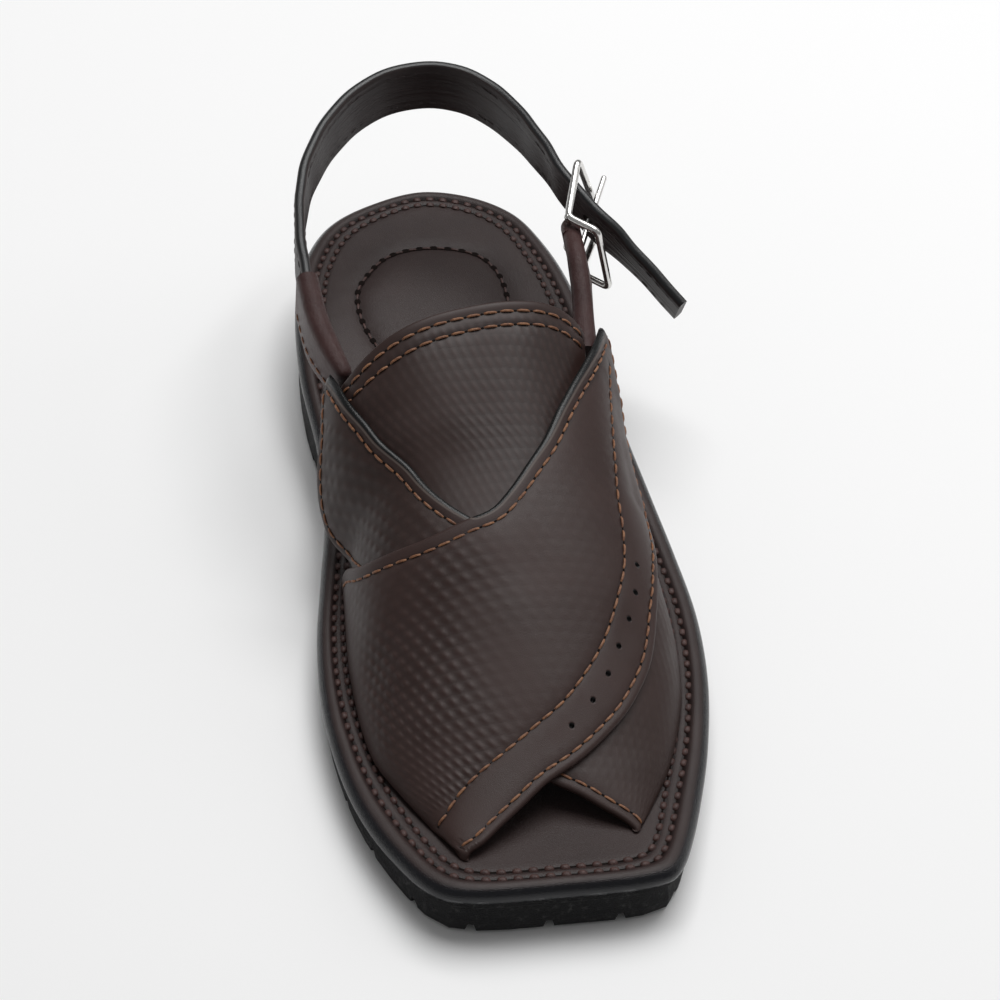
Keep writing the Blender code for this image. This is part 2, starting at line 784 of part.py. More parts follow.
def rod(name, start, end, radius, sides=12):
    """Cylinder between two points, as a tool for a Boolean."""
    direction = (end - start).normalized()
    side = direction.orthogonal().normalized()
    other = direction.cross(side)
    rings = []
    for place in (start, end):
        ring = []
        for k in range(sides):
            turn = 2 * math.pi * k / sides
            ring.append(place + (side * math.cos(turn) + other * math.sin(turn)) * radius)
        rings.append(ring)
    made = loft(name, rings, None, paired=False)
    hide_tool(made)
    return made


def wire(name, points, radius, look, cyclic=False):
    """Round wire through points, with closed ends."""
    curve = bpy.data.curves.new(name, "CURVE")
    curve.dimensions = "3D"
    curve.bevel_depth = radius
    curve.bevel_resolution = 2
    curve.use_fill_caps = True
    line = curve.splines.new("POLY")
    line.points.add(len(points) - 1)
    for slot, point in zip(line.points, points):
        slot.co = (*point, 1.0)
    line.use_cyclic_u = cyclic
    if look is not None:
        curve.materials.append(look)
    made = bpy.data.objects.new(name, curve)
    bpy.context.scene.collection.objects.link(made)
    return made


def rounded(corners, radius, steps=3):
    """Closed polyline with its corners rounded by arcs."""
    made = []
    count = len(corners)
    for k, corner in enumerate(corners):
        into = (corners[k - 1] - corner).normalized()
        away_from = (corners[(k + 1) % count] - corner).normalized()
        start = corner + into * radius
        end = corner + away_from * radius
        for step in range(steps + 1):
            t = step / steps
            made.append(start * (1 - t) ** 2 + corner * 2 * t * (1 - t) + end * t ** 2)
    return made


def build_buckle():
    """Bright wire buckle: a frame bent at its centre bar, and the prong on the bar."""
    look = material("buckle_nickel", (0.75, 0.75, 0.76), 0.18, 1.0)
    top = by_bar((0, 0, 0))
    down = BAR_DIRECTION * BAR_LENGTH
    foot = top + down
    front = by_bar(FRONT_HALF)
    corners = [by_bar(BACK_TOP), by_bar(BACK_FOOT) + down, foot, front + down, front, top]
    path = rounded(corners, CORNER_RADIUS)
    frame = turn_to_mesh(wire("buckle_frame", path, WIRE, look, cyclic=True))
    bar = rod("buckle_bar", top, foot, WIRE * 0.98, sides=8)
    boolean(frame, bar, "UNION")


def turn_to_mesh(shape):
    """Replace a curve object by a mesh object of the same name."""
    name = shape.name
    look = shape.data.materials[0] if shape.data.materials else None
    graph = bpy.context.evaluated_depsgraph_get()
    mesh = bpy.data.meshes.new_from_object(shape.evaluated_get(graph))
    bpy.data.objects.remove(shape)
    mesh.name = name
    mesh.materials.clear()
    if look is not None:
        mesh.materials.append(look)
    made = bpy.data.objects.new(name, mesh)
    bpy.context.scene.collection.objects.link(made)
    facing_out(made)
    return made


def prong_path():
    """Prong: a hook round the centre bar, then straight to its tip past the frame."""
    pivot = by_bar((0, 0, 0)) + BAR_DIRECTION * BAR_LENGTH / 2
    tip = by_bar(PRONG_TIP)
    reach = WIRE + GAP + PRONG_WIRE
    toward = tip - pivot
    toward = (toward - BAR_DIRECTION * toward.dot(BAR_DIRECTION)).normalized()
    outward = BAR_DIRECTION.cross(toward)
    if outward.x < 0:
        outward = -outward
    path = []
    for k in range(11):
        turn = math.radians(290 - 290 * k / 10)
        path.append(pivot + (outward * math.cos(turn) - toward * math.sin(turn)) * reach)
    for share in (0.5, 1.0):
        path.append(path[10].lerp(tip, share))
    return path


def build_prong(strap):
    """The prong on the centre bar, and its holes through the strap and the loop."""
    look = material("prong_nickel", (0.75, 0.75, 0.76), 0.18, 1.0)
    path = prong_path()
    wire("buckle_prong", path, PRONG_WIRE, look)
    direction = (path[-1] - path[10]).normalized()
    start = path[10] + direction * 0.004
    hole = rod("prong_hole", start, path[-1] + direction * 0.004, PRONG_WIRE + 0.0004)
    boolean(strap, hole, "DIFFERENCE")
    pivot = by_bar((0, 0, 0)) + BAR_DIRECTION * BAR_LENGTH / 2
    half = PRONG_WIRE + GAP + 0.0002
    reach = LOOP_THICK + 0.0002
    back = Vector(BACK_TOP)
    back = (back - BAR_DIRECTION * back.dot(BAR_DIRECTION)).normalized()
    out = BAR_DIRECTION.cross(back).normalized()
    points = []
    faces = []
    low = []
    high = []
    for a, b in ((-0.0036, -reach), (reach, -reach), (reach, reach), (-0.0036, reach)):
        spot = pivot + back * a + out * b
        low.append(spot - BAR_DIRECTION * half)
        high.append(spot + BAR_DIRECTION * half)
    prism(points, faces, low, high)
    slot = add_mesh("prong_slot", points, faces, None)
    facing_out(slot)
    hide_tool(slot)
    boolean(bpy.data.objects["buckle_loop"], slot, "DIFFERENCE")


def build():
    """Every piece of the shoe."""
    for old in list(bpy.data.objects):
        bpy.data.objects.remove(old)
    build_outsole()
    build_footbed()
    build_upper()
    build_tongue()
    build_sleeve()
    build_loop()
    strap = build_strap()
    build_buckle()
    build_prong(strap)


build()
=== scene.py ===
"""Peshawari chappal, the wearer's left shoe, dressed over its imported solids.

Metres, +Z up, toe to -Y, lateral side to +X, origin on the floor under the heel.
"""
import math

import bpy
from mathutils import Matrix, Vector
from mathutils.geometry import delaunay_2d_cdt
from mathutils.kdtree import KDTree


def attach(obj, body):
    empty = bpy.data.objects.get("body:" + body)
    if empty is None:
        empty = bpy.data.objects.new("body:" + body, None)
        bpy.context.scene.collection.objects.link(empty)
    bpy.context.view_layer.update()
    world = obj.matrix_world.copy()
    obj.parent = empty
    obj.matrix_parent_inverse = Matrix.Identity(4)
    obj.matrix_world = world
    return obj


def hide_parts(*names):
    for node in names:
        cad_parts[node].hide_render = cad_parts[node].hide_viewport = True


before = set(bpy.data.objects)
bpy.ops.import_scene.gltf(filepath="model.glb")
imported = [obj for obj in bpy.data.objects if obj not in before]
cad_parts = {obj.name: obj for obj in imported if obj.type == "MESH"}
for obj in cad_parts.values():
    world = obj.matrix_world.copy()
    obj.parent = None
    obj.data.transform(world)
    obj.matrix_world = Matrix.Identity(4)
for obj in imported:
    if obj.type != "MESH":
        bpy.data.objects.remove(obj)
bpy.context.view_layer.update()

# The outsole: moulded black rubber with a heel block, a forefoot and notches cut between
# its edge lugs. The solid stays, and gets a dull, finely pitted rubber skin with light dust.
RUBBER_BLACK = (0.010, 0.010, 0.011)
RUBBER_DUST = (0.066, 0.065, 0.064)


def new_group(name, inputs, outputs):
    """Empty shader node group with named float, colour or vector sockets."""
    group = bpy.data.node_groups.new(name, "ShaderNodeTree")
    for label, kind, value in inputs:
        socket = group.interface.new_socket(name=label, in_out="INPUT", socket_type=kind)
        if value is not None:
            socket.default_value = value
    for label, kind in outputs:
        group.interface.new_socket(name=label, in_out="OUTPUT", socket_type=kind)
    start = group.nodes.new("NodeGroupInput")
    end = group.nodes.new("NodeGroupOutput")
    return group, start, end


def math_node(tree, operation, first, second=None, clamp=False):
    """Math node with values or sockets on its inputs; gives back its output."""
    node = tree.nodes.new("ShaderNodeMath")
    node.operation = operation
    node.use_clamp = clamp
    for slot, value in enumerate((first, second)):
        if value is None:
            continue
        if isinstance(value, (int, float)):
            node.inputs[slot].default_value = value
        else:
            tree.links.new(value, node.inputs[slot])
    return node.outputs[0]


def noise_node(tree, vector, scale, detail=3.0, roughness=0.5):
    """Noise texture over a vector; gives back its value."""
    node = tree.nodes.new("ShaderNodeTexNoise")
    node.inputs["Detail"].default_value = detail
    node.inputs["Roughness"].default_value = roughness
    if isinstance(scale, (int, float)):
        node.inputs["Scale"].default_value = scale
    else:
        tree.links.new(scale, node.inputs["Scale"])
    tree.links.new(vector, node.inputs["Vector"])
    return node.outputs["Fac"]


def make_skin_group():
    """Fine grain with pores, and a slow change of tone, over the object's own metres."""
    group, start, end = new_group(
        "skin_grain",
        (("Vector", "NodeSocketVector", None), ("Grain Scale", "NodeSocketFloat", 2200.0)),
        (("Height", "NodeSocketFloat"), ("Tone", "NodeSocketFloat")),
    )
    vector = start.outputs["Vector"]
    cells = group.nodes.new("ShaderNodeTexVoronoi")
    cells.feature = "DISTANCE_TO_EDGE"
    group.links.new(vector, cells.inputs["Vector"])
    group.links.new(start.outputs["Grain Scale"], cells.inputs["Scale"])
    creases = math_node(group, "MULTIPLY", cells.outputs["Distance"], 4.0, clamp=True)
    fine = noise_node(group, vector, 5200.0, detail=2.0)
    height = math_node(group, "ADD", math_node(group, "MULTIPLY", creases, 0.6), fine)
    group.links.new(height, end.inputs["Height"])
    tone = noise_node(group, vector, 62.0, detail=4.0, roughness=0.6)
    group.links.new(tone, end.inputs["Tone"])
    return group


skin_group = make_skin_group()


def base_material(name):
    """Material with its tree, its Principled shader and the object's coordinates."""
    made = bpy.data.materials.new(name)
    made.use_nodes = True
    tree = made.node_tree
    shader = tree.nodes["Principled BSDF"]
    where = tree.nodes.new("ShaderNodeTexCoord").outputs["Object"]
    return made, tree, shader, where


def place_group(tree, group, vector=None, **values):
    """Group node in a material, fed with a vector and its own values."""
    node = tree.nodes.new("ShaderNodeGroup")
    node.node_tree = group
    if vector is not None:
        tree.links.new(vector, node.inputs["Vector"])
    for label, value in values.items():
        node.inputs[label.replace("_", " ")].default_value = value
    return node


def mix_colour(tree, mask, first, second):
    """Mix of two colours, each a value or a socket, by a mask."""
    node = tree.nodes.new("ShaderNodeMix")
    node.data_type = "RGBA"
    tree.links.new(mask, node.inputs["Factor"])
    for socket, value in ((node.inputs[6], first), (node.inputs[7], second)):
        if isinstance(value, tuple):
            socket.default_value = (*value, 1.0)
        else:
            tree.links.new(value, socket)
    return node.outputs[2]


def spread(tree, value, low, high, to_low=0.0, to_high=1.0):
    """Smooth step of a value from one range to another."""
    node = tree.nodes.new("ShaderNodeMapRange")
    node.interpolation_type = "SMOOTHSTEP"
    tree.links.new(value, node.inputs["Value"])
    for label, number in (("From Min", low), ("From Max", high), ("To Min", to_low), ("To Max", to_high)):
        node.inputs[label].default_value = number
    return node.outputs["Result"]


def bump(tree, shader, height, depth):
    """Bump of a height into the shader's normal, with its depth in metres."""
    node = tree.nodes.new("ShaderNodeBump")
    node.inputs["Strength"].default_value = 1.0
    node.inputs["Distance"].default_value = depth
    tree.links.new(height, node.inputs["Height"])
    tree.links.new(node.outputs["Normal"], shader.inputs["Normal"])


def make_rubber():
    """Dull black rubber with fine pits and a trace of dust."""
    made, tree, shader, where = base_material("sole_rubber")
    skin = place_group(tree, skin_group, where, Grain_Scale=1500.0)
    dust = spread(tree, noise_node(tree, where, 420.0, detail=5.0, roughness=0.75), 0.52, 0.72)
    colour = mix_colour(tree, dust, RUBBER_BLACK, RUBBER_DUST)
    tree.links.new(colour, shader.inputs["Base Color"])
    rough = spread(tree, skin.outputs["Tone"], 0.3, 0.7, 0.55, 0.72)
    tree.links.new(rough, shader.inputs["Roughness"])
    shader.inputs["Specular IOR Level"].default_value = 0.3
    scuffs = noise_node(tree, where, 260.0, detail=6.0, roughness=0.7)
    bump(tree, shader, math_node(tree, "ADD", scuffs, skin.outputs["Height"]), 0.00070)
    return made


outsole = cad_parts["outsole"]
outsole.data.materials.clear()
outsole.data.materials.append(make_rubber())

# The footbed: a board wrapped in dark leather, whose rolled rim carries two sunk rows of
# dark thread all round and a glossy black painted side. A stitched oval pads the heel.
LENGTH = 0.285
BALL_WIDTH = 0.107
HEEL_SEAT = 0.027
FORE_SEAT = 0.0140
TOE_SPRING = 0.0040
HEEL_END = LENGTH / 6
RIM_STEPS = 210
OUTLINE = (
    # station, medial, lateral
    (0.016, 0.120, 0.180),
    (0.051, 0.262, 0.290),
    (0.107, 0.350, 0.355),
    (0.184, 0.400, 0.402),
    (0.289, 0.416, 0.430),
    (0.395, 0.395, 0.458),
    (0.482, 0.400, 0.488),
    (0.570, 0.436, 0.514),
    (0.658, 0.470, 0.526),
    (0.746, 0.479, 0.507),
    (0.833, 0.455, 0.458),
    (0.893, 0.414, 0.409),
    (0.942, 0.358, 0.362),
    (0.975, 0.306, 0.322),
    (0.990, 0.262, 0.290),
    (0.998, 0.190, 0.220),
)
HEEL_TIP = 0.030
TOE_TIP = 0.020
RIM_PROFILE = (
    # inset, drop below the crown
    (0.0018, 0.0055),
    (0.0009, 0.0053),
    (0.0003, 0.0048),
    (0.0000, 0.0039),
    (0.0000, 0.0029),
    (0.0003, 0.0020),
    (0.0009, 0.0012),
    (0.0017, 0.0005),
    (0.0026, 0.0001),
    (0.0035, 0.0000),
    (0.0041, 0.0002),
    (0.0046, 0.0006),
    (0.0052, 0.0012),
    (0.0058, 0.0009),
    (0.0066, 0.0008),
    (0.0074, 0.0010),
    (0.0080, 0.0013),
    (0.0086, 0.0011),
    (0.0096, 0.0010),
    (0.0110, 0.0010),
)
RIM_ROWS = (0.0052, 0.0080)
SEAT_DROP = 0.0010
HEEL_PAD = (
    # x, y of the stitched oval
    (-0.0233, -0.0022), (-0.0191, 0.0061), (-0.0128, 0.0137), (-0.0051, 0.0171),
    (0.0058, 0.0171), (0.0160, 0.0125), (0.0208, 0.0037), (0.0222, -0.0097),
    (0.0205, -0.0270), (0.0130, -0.0400), (0.0010, -0.0445), (-0.0110, -0.0400),
    (-0.0195, -0.0280), (-0.0235, -0.0150),
)
PAD_MIDDLE = Vector((0.0, -0.013))
PAD_SWELL = 0.0007
PAD_GROOVE = 0.0009
SEAT_GRID = 0.0036
SEAM_PITCH = 0.0041
PAD_PITCH = 0.0045
STITCH_SHARES = (-1.0, -0.82, -0.4, 0.1, 0.5, 0.85, 1.0)
THREAD_SIDES = 7
HOLE_SIDES = 9
FOOTBED_BROWN = ((0.0225, 0.0118, 0.0106), (0.0295, 0.0165, 0.0150))
# Painted shade along the footbed's sunk rows of thread and the heel pad's groove.
FOOTBED_SEAM_SHADE = (0.010, 0.005, 0.0045)
RIM_PAINT = (0.0050, 0.0052, 0.0072)
RIM_PARTING = (0.095, 0.095, 0.098)
FOOTBED_THREAD = ((0.034, 0.0125, 0.0105), (0.064, 0.0260, 0.0205))
# Painted shade inside the needle holes.
NEEDLE_HOLE_SHADE = ((0.004, 0.0025, 0.002), (0.010, 0.006, 0.005))


def between(rows, at):
    """Monotone cubic through rows of (station, value, ...), read at one station."""
    at = min(max(at, rows[0][0]), rows[-1][0])
    index = 0
    while index < len(rows) - 2 and at > rows[index + 1][0]:
        index += 1
    values = []
    span = rows[index + 1][0] - rows[index][0]
    t = (at - rows[index][0]) / span
    for column in range(1, len(rows[0])):
        slopes = []
        for k in (index - 1, index, index + 1):
            if 0 <= k < len(rows) - 1:
                rise = rows[k + 1][column] - rows[k][column]
                slopes.append(rise / (rows[k + 1][0] - rows[k][0]))
            else:
                slopes.append(None)
        tangents = []
        for before, after in (slopes[:2], slopes[1:]):
            if before is None or after is None:
                tangents.append(before if after is None else after)
            elif before * after <= 0:
                tangents.append(0.0)
            else:
                tangents.append(2 * before * after / (before + after))
        values.append(
            (2 * t ** 3 - 3 * t ** 2 + 1) * rows[index][column]
            + (t ** 3 - 2 * t ** 2 + t) * span * tangents[0]
            + (3 * t ** 2 - 2 * t ** 3) * rows[index + 1][column]
            + (t ** 3 - t ** 2) * span * tangents[1]
        )
    return values


def through(points, steps=8, closed=False):
    """Centripetal Catmull-Rom curve through points of any dimension, densely sampled."""
    points = [Vector(p) for p in points]
    if closed:
        ring = [points[-1]] + points + points[:2]
    else:
        ring = [points[0] * 2 - points[1]] + points + [points[-1] * 2 - points[-2]]
    sampled = []
    for a, b, c, d in zip(ring, ring[1:], ring[2:], ring[3:]):
        k1 = max((b - a).length, 1e-9) ** 0.5
        k2 = k1 + max((c - b).length, 1e-9) ** 0.5
        k3 = k2 + max((d - c).length, 1e-9) ** 0.5
        for step in range(steps):
            k = k1 + (k2 - k1) * step / steps
            ab = a + (b - a) * (k / k1)
            bc = b + (c - b) * ((k - k1) / (k2 - k1))
            cd = c + (d - c) * ((k - k2) / (k3 - k2))
            abc = ab + (bc - ab) * (k / k2)
            bcd = bc + (cd - bc) * ((k - k1) / (k3 - k1))
            sampled.append(abc + (bcd - abc) * ((k - k1) / (k2 - k1)))
    if not closed:
        sampled.append(points[-1])
    return sampled


def run_length(points, measure=3):
    """Lengths along a polyline, measured over its first coordinates."""
    lengths = [0.0]
    for a, b in zip(points, points[1:]):
        gap = math.sqrt(sum((b[k] - a[k]) ** 2 for k in range(min(measure, len(a)))))
        lengths.append(lengths[-1] + gap)
    return lengths


def evenly(points, count, measure=3):
    """The same polyline with count even steps."""
    lengths = run_length(points, measure)
    made = []
    index = 0
    for step in range(count + 1):
        want = lengths[-1] * step / count
        while index < len(points) - 2 and lengths[index + 1] < want:
            index += 1
        part = (want - lengths[index]) / max(lengths[index + 1] - lengths[index], 1e-12)
        made.append(points[index].lerp(points[index + 1], part))
    return made


def y_at(station):
    """Y of a station: 0 at the heel's end, 1 at the toe."""
    return HEEL_END - station * LENGTH


def station_at(y):
    """Station of a Y."""
    return (HEEL_END - y) / LENGTH


def seat(y):
    """Height of the rim's crown: flat forefoot, toe spring, and a soft rise to the heel."""
    rise_start = HEEL_END - 0.60 * LENGTH
    rise = min(max((y - rise_start) / (0.46 * LENGTH), 0), 1)
    spring_start = HEEL_END - 0.83 * LENGTH
    spring = min(max((spring_start - y) / (0.17 * LENGTH), 0), 1)
    return FORE_SEAT + (HEEL_SEAT - FORE_SEAT) * rise ** 2 * (3 - 2 * rise) + TOE_SPRING * spring ** 2


def rim_ring():
    """Plan of the rim's outer line: heel tip, medial side, toe, lateral side."""
    medial = [(-BALL_WIDTH * m, y_at(s)) for s, m, l in OUTLINE]
    lateral = [(BALL_WIDTH * l, y_at(s)) for s, m, l in OUTLINE]
    heel = (HEEL_TIP * BALL_WIDTH, y_at(0))
    toe = (TOE_TIP * BALL_WIDTH, y_at(1))
    ring = through([heel] + medial + [toe] + lateral[::-1], closed=True)
    return evenly(ring + ring[:1], 2 * RIM_STEPS, measure=2)[:-1]


RIM = rim_ring()


def drawn_in(inset, drop=None):
    """The rim's line drawn in by inset, at a drop below the crown."""
    middle = y_at(0.5)
    points = []
    for x, y in RIM:
        medial, lateral = between(OUTLINE, station_at(y))
        half = max((medial + lateral) / 2, 0.40) * BALL_WIDTH
        where = middle + (y - middle) * (1 - inset / (LENGTH / 2))
        height = 0.0 if drop is None else seat(where) - drop
        points.append(Vector((x * (1 - inset / half), where, height)))
    return points


def tree_of(points):
    """Search tree over points."""
    made = KDTree(len(points))
    for k, point in enumerate(points):
        made.insert((*point[:2], 0.0), k)
    made.balance()
    return made


def inside(point, outline):
    """Whether a point in plan lies inside an outline."""
    x, y = point[0], point[1]
    found = False
    for a, b in zip(outline, outline[1:] + outline[:1]):
        if (a[1] > y) != (b[1] > y):
            if x < a[0] + (y - a[1]) * (b[0] - a[0]) / (b[1] - a[1]):
                found = not found
    return found


def add_piece(name, points, faces, looks, slot_name, smooth_to=50):
    """Mesh piece shaded smooth, riding on the shoe, with its materials."""
    mesh = bpy.data.meshes.new(name)
    mesh.from_pydata([tuple(p) for p in points], [], faces)
    mesh.validate()
    for look in looks:
        mesh.materials.append(look)
    mesh.shade_smooth()
    mesh.set_sharp_from_angle(angle=math.radians(smooth_to))
    made = bpy.data.objects.new(name, mesh)
    bpy.context.scene.collection.objects.link(made)
    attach(made, "root")
    return made


def keep_values(piece, name, values):
    """Store one number for each point of a mesh, for its material to read."""
    layer = piece.data.attributes.new(name, "FLOAT", "POINT")
    layer.data.foreach_set("value", values)


def keep_places(piece, places):
    """Store each point's place on the flat leather, in metres, as the mesh's UV map."""
    layer = piece.data.uv_layers.new(name="flat")
    for loop, slot in zip(piece.data.loops, layer.data):
        slot.uv = places[loop.vertex_index]


def read_value(tree, name):
    """Socket of a number stored on the mesh."""
    node = tree.nodes.new("ShaderNodeAttribute")
    node.attribute_name = name
    return node.outputs["Fac"]


def skin_over(rings, close=True):
    """Points and faces of a skin through rings of equal count, closed at its ends if asked."""
    count = len(rings[0])
    points = [p for ring in rings for p in ring]
    faces = []
    for level in range(len(rings) - 1):
        for k in range(count):
            n = (k + 1) % count
            low = level * count
            faces.append((low + k, low + n, low + count + n, low + count + k))
    if close:
        faces.append(tuple(range(count - 1, -1, -1)))
        faces.append(tuple(len(points) - count + k for k in range(count)))
    return points, faces


def join(whole, part):
    """Add the points and faces of a part to those of a whole."""
    start = len(whole[0])
    whole[0].extend(part[0])
    whole[1].extend(tuple(start + k for k in face) for face in part[1])


def seam(points, normals, pitch, thread, holes, long=0.72, wide=0.0008, high=0.00045, hole=0.00055):
    """Add one row of sewn thread, and the needle holes between its stitches as flat discs for their painted
    shade.
    """
    lengths = run_length(points)
    count = max(1, round(lengths[-1] / pitch))
    step = lengths[-1] / count

    def at(want):
        """Point and normal at a length along the row."""
        index = 0
        while index < len(points) - 2 and lengths[index + 1] < want:
            index += 1
        part = (want - lengths[index]) / max(lengths[index + 1] - lengths[index], 1e-12)
        part = min(max(part, 0.0), 1.0)
        return points[index].lerp(points[index + 1], part), normals[index].lerp(normals[index + 1], part)

    def stand(want, reach):
        """Point at a length along the row, and the directions along, beside and up from it."""
        point, normal = at(want)
        ahead, _ = at(min(want + reach, lengths[-1]))
        behind, _ = at(max(want - reach, 0.0))
        along = (ahead - behind).normalized()
        side = along.cross(normal).normalized()
        return point, along, side, side.cross(along).normalized()

    for k in range(count):
        middle = (k + 0.5) * step
        rings = []
        for share in STITCH_SHARES:
            point, _, side, up = stand(middle + share * step * long / 2, 0.0003)
            fill = (1 - share ** 4) ** 0.5 if abs(share) < 1 else 0.30
            centre = point + up * (high * (1 - 1.5 * share ** 4)) + side * 0.00008 * share
            radius = wide / 2 * (0.45 + 0.55 * fill)
            ring = []
            for turn in range(THREAD_SIDES):
                angle = math.tau * turn / THREAD_SIDES
                ring.append(centre + side * math.cos(angle) * radius + up * math.sin(angle) * radius * 0.8)
            rings.append(ring)
        join(thread, skin_over(rings))
    for k in range(count + 1):
        point, along, side, up = stand(min(max(k * step, 0.0), lengths[-1]), 0.0004)
        mouth = []
        for turn in range(HOLE_SIDES):
            angle = math.tau * turn / HOLE_SIDES
            aside = side * math.cos(angle) * hole * 0.8 + along * math.sin(angle) * hole * 1.15
            mouth.append(point + aside + up * 0.00009)
        join(holes, (mouth, [range(HOLE_SIDES)]))


def make_thread(name, colour, light):
    """Waxed thread, darker and lighter along its length."""
    made, tree, shader, where = base_material(name)
    tone = noise_node(tree, where, 900.0, detail=2.0)
    colours = mix_colour(tree, spread(tree, tone, 0.3, 0.7), colour, light)
    tree.links.new(colours, shader.inputs["Base Color"])
    shader.inputs["Roughness"].default_value = 0.55
    bump(tree, shader, noise_node(tree, where, 3800.0, detail=1.0), 0.00012)
    return made


def make_hole_look():
    """Near-black painted shade for the inside of a needle hole."""
    made, tree, shader, where = base_material("needle_hole_shade")
    tone = noise_node(tree, where, 700.0)
    colour = mix_colour(tree, tone, *NEEDLE_HOLE_SHADE)
    tree.links.new(colour, shader.inputs["Base Color"])
    shader.inputs["Roughness"].default_value = 0.9
    shader.inputs["Specular IOR Level"].default_value = 0.1
    return made


hole_shade_look = make_hole_look()


def add_sewing(thread_name, holes_name, thread, holes, look, slot_name):
    """Pieces of a part's sewn thread and of its needle holes, the holes in painted shade."""
    add_piece(thread_name, *thread, [look], slot_name)
    add_piece(holes_name, *holes, [hole_shade_look], slot_name)


def make_footbed_leather():
    """Smooth dark leather, black and glossy on the rim's painted side, over a pale parting line, with painted
    shade along its sunk rows and the heel pad's groove.
    """
    made, tree, shader, where = base_material("footbed_wrap")
    skin = place_group(tree, skin_group, where, Grain_Scale=1900.0)
    tone = spread(tree, skin.outputs["Tone"], 0.3, 0.7)
    brown = mix_colour(tree, tone, *FOOTBED_BROWN)
    # Painted shade: the leather darkens along the rim's sunk rows and the heel pad's groove.
    seam_shade = spread(tree, read_value(tree, "seam_gap"), 0.0002, 0.0012, 1.0, 0.0)
    shaded_brown = mix_colour(tree, seam_shade, brown, FOOTBED_SEAM_SHADE)
    paint = spread(tree, read_value(tree, "inset"), 0.0010, 0.0024, 1.0, 0.0)
    colour = mix_colour(tree, paint, shaded_brown, RIM_PAINT)
    uneven = spread(tree, noise_node(tree, where, 160.0, detail=3.0), 0.40, 0.62, 0.1, 0.9)
    low = math_node(tree, "MULTIPLY", spread(tree, read_value(tree, "drop"), 0.0034, 0.0040), uneven)
    colour = mix_colour(tree, low, colour, RIM_PARTING)
    tree.links.new(colour, shader.inputs["Base Color"])
    rough = spread(tree, paint, 0.0, 1.0, 0.46, 0.17)
    tree.links.new(rough, shader.inputs["Roughness"])
    shader.inputs["Specular IOR Level"].default_value = 0.36
    bump(tree, shader, skin.outputs["Height"], 0.00005)
    return made


def build_footbed():
    """Board and rim as one closed leather-wrapped form, with its sewn rows."""
    rings = [drawn_in(inset, drop) for inset, drop in RIM_PROFILE]
    count = len(RIM)
    points, faces = skin_over(rings, close=False)
    insets = [inset for inset, drop in RIM_PROFILE for _ in range(count)]
    drops = [drop for inset, drop in RIM_PROFILE for _ in range(count)]
    pad = evenly(through(HEEL_PAD, closed=True) + [Vector(HEEL_PAD[0])], 70, measure=2)[:-1]
    pad_tree = tree_of(pad)
    border = rings[-1]
    border_tree = tree_of(border)
    plan = [Vector(p[:2]) for p in border]
    for share in (-0.055, -0.028, 0.0, 0.028, 0.055):
        for p in pad:
            plan.append(p + (p - PAD_MIDDLE) * share)
    row = 0
    y = y_at(1.0)
    while y < HEEL_END:
        x = -BALL_WIDTH * 0.6 + (row % 2) * SEAT_GRID / 2
        while x < BALL_WIDTH * 0.6:
            clear = pad_tree.find((x, y, 0.0))[2] > 0.0026
            clear = clear and border_tree.find((x, y, 0.0))[2] > SEAT_GRID * 0.6
            if clear and inside((x, y), border):
                plan.append(Vector((x, y)))
            x += SEAT_GRID
        y += SEAT_GRID * 0.87
        row += 1
    edges = [(k, (k + 1) % count) for k in range(count)]
    flats, _, triangles, _, _, _ = delaunay_2d_cdt(plan, edges, [], 1, 1e-9)
    start = (len(rings) - 1) * count
    for x, y in flats[count:]:
        gap = pad_tree.find((x, y, 0.0))[2]
        swell = 0.0
        if inside((x, y), pad):
            swell = PAD_SWELL * (1 - math.exp(-((gap / 0.005) ** 2)))
        groove = PAD_GROOVE * math.exp(-((gap / 0.0017) ** 2))
        points.append(Vector((x, y, seat(y) - SEAT_DROP + swell - groove)))
        insets.append(0.02)
    faces.extend(tuple(start + k for k in triangle) for triangle in triangles)
    faces.append(tuple(range(count - 1, -1, -1)))
    made = add_piece("footbed_wrap", points, faces, [make_footbed_leather()], "footbed_leather")
    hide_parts("footbed")
    gaps = []
    for k, point in enumerate(points):
        gap = pad_tree.find((point.x, point.y, 0.0))[2]
        if k < start + count:
            gap = min(abs(insets[k] - row_inset) for row_inset in RIM_ROWS)
        gaps.append(gap)
    keep_values(made, "inset", insets)
    keep_values(made, "drop", drops + [0.0] * (len(points) - len(drops)))
    keep_values(made, "seam_gap", gaps)
    thread = ([], [])
    holes = ([], [])
    up = Vector((0, 0, 1))
    for inset, drop in zip(RIM_ROWS, (0.0012, 0.0013)):
        line = drawn_in(inset, drop)
        line.append(line[0])
        seam(line, [up] * len(line), SEAM_PITCH, thread, holes,
             long=0.62, wide=0.0018, high=0.0003, hole=0.0011)
    ring = [Vector((p.x, p.y, seat(p.y) - SEAT_DROP - 0.00062)) for p in pad + pad[:1]]
    seam(ring, [up] * len(ring), PAD_PITCH, thread, holes, long=0.55, high=0.0001, hole=0.0012)
    look = make_thread("footbed_thread", *FOOTBED_THREAD)
    add_sewing("footbed_seams", "footbed_needle_holes", thread, holes, look, "footbed_leather")


build_footbed()

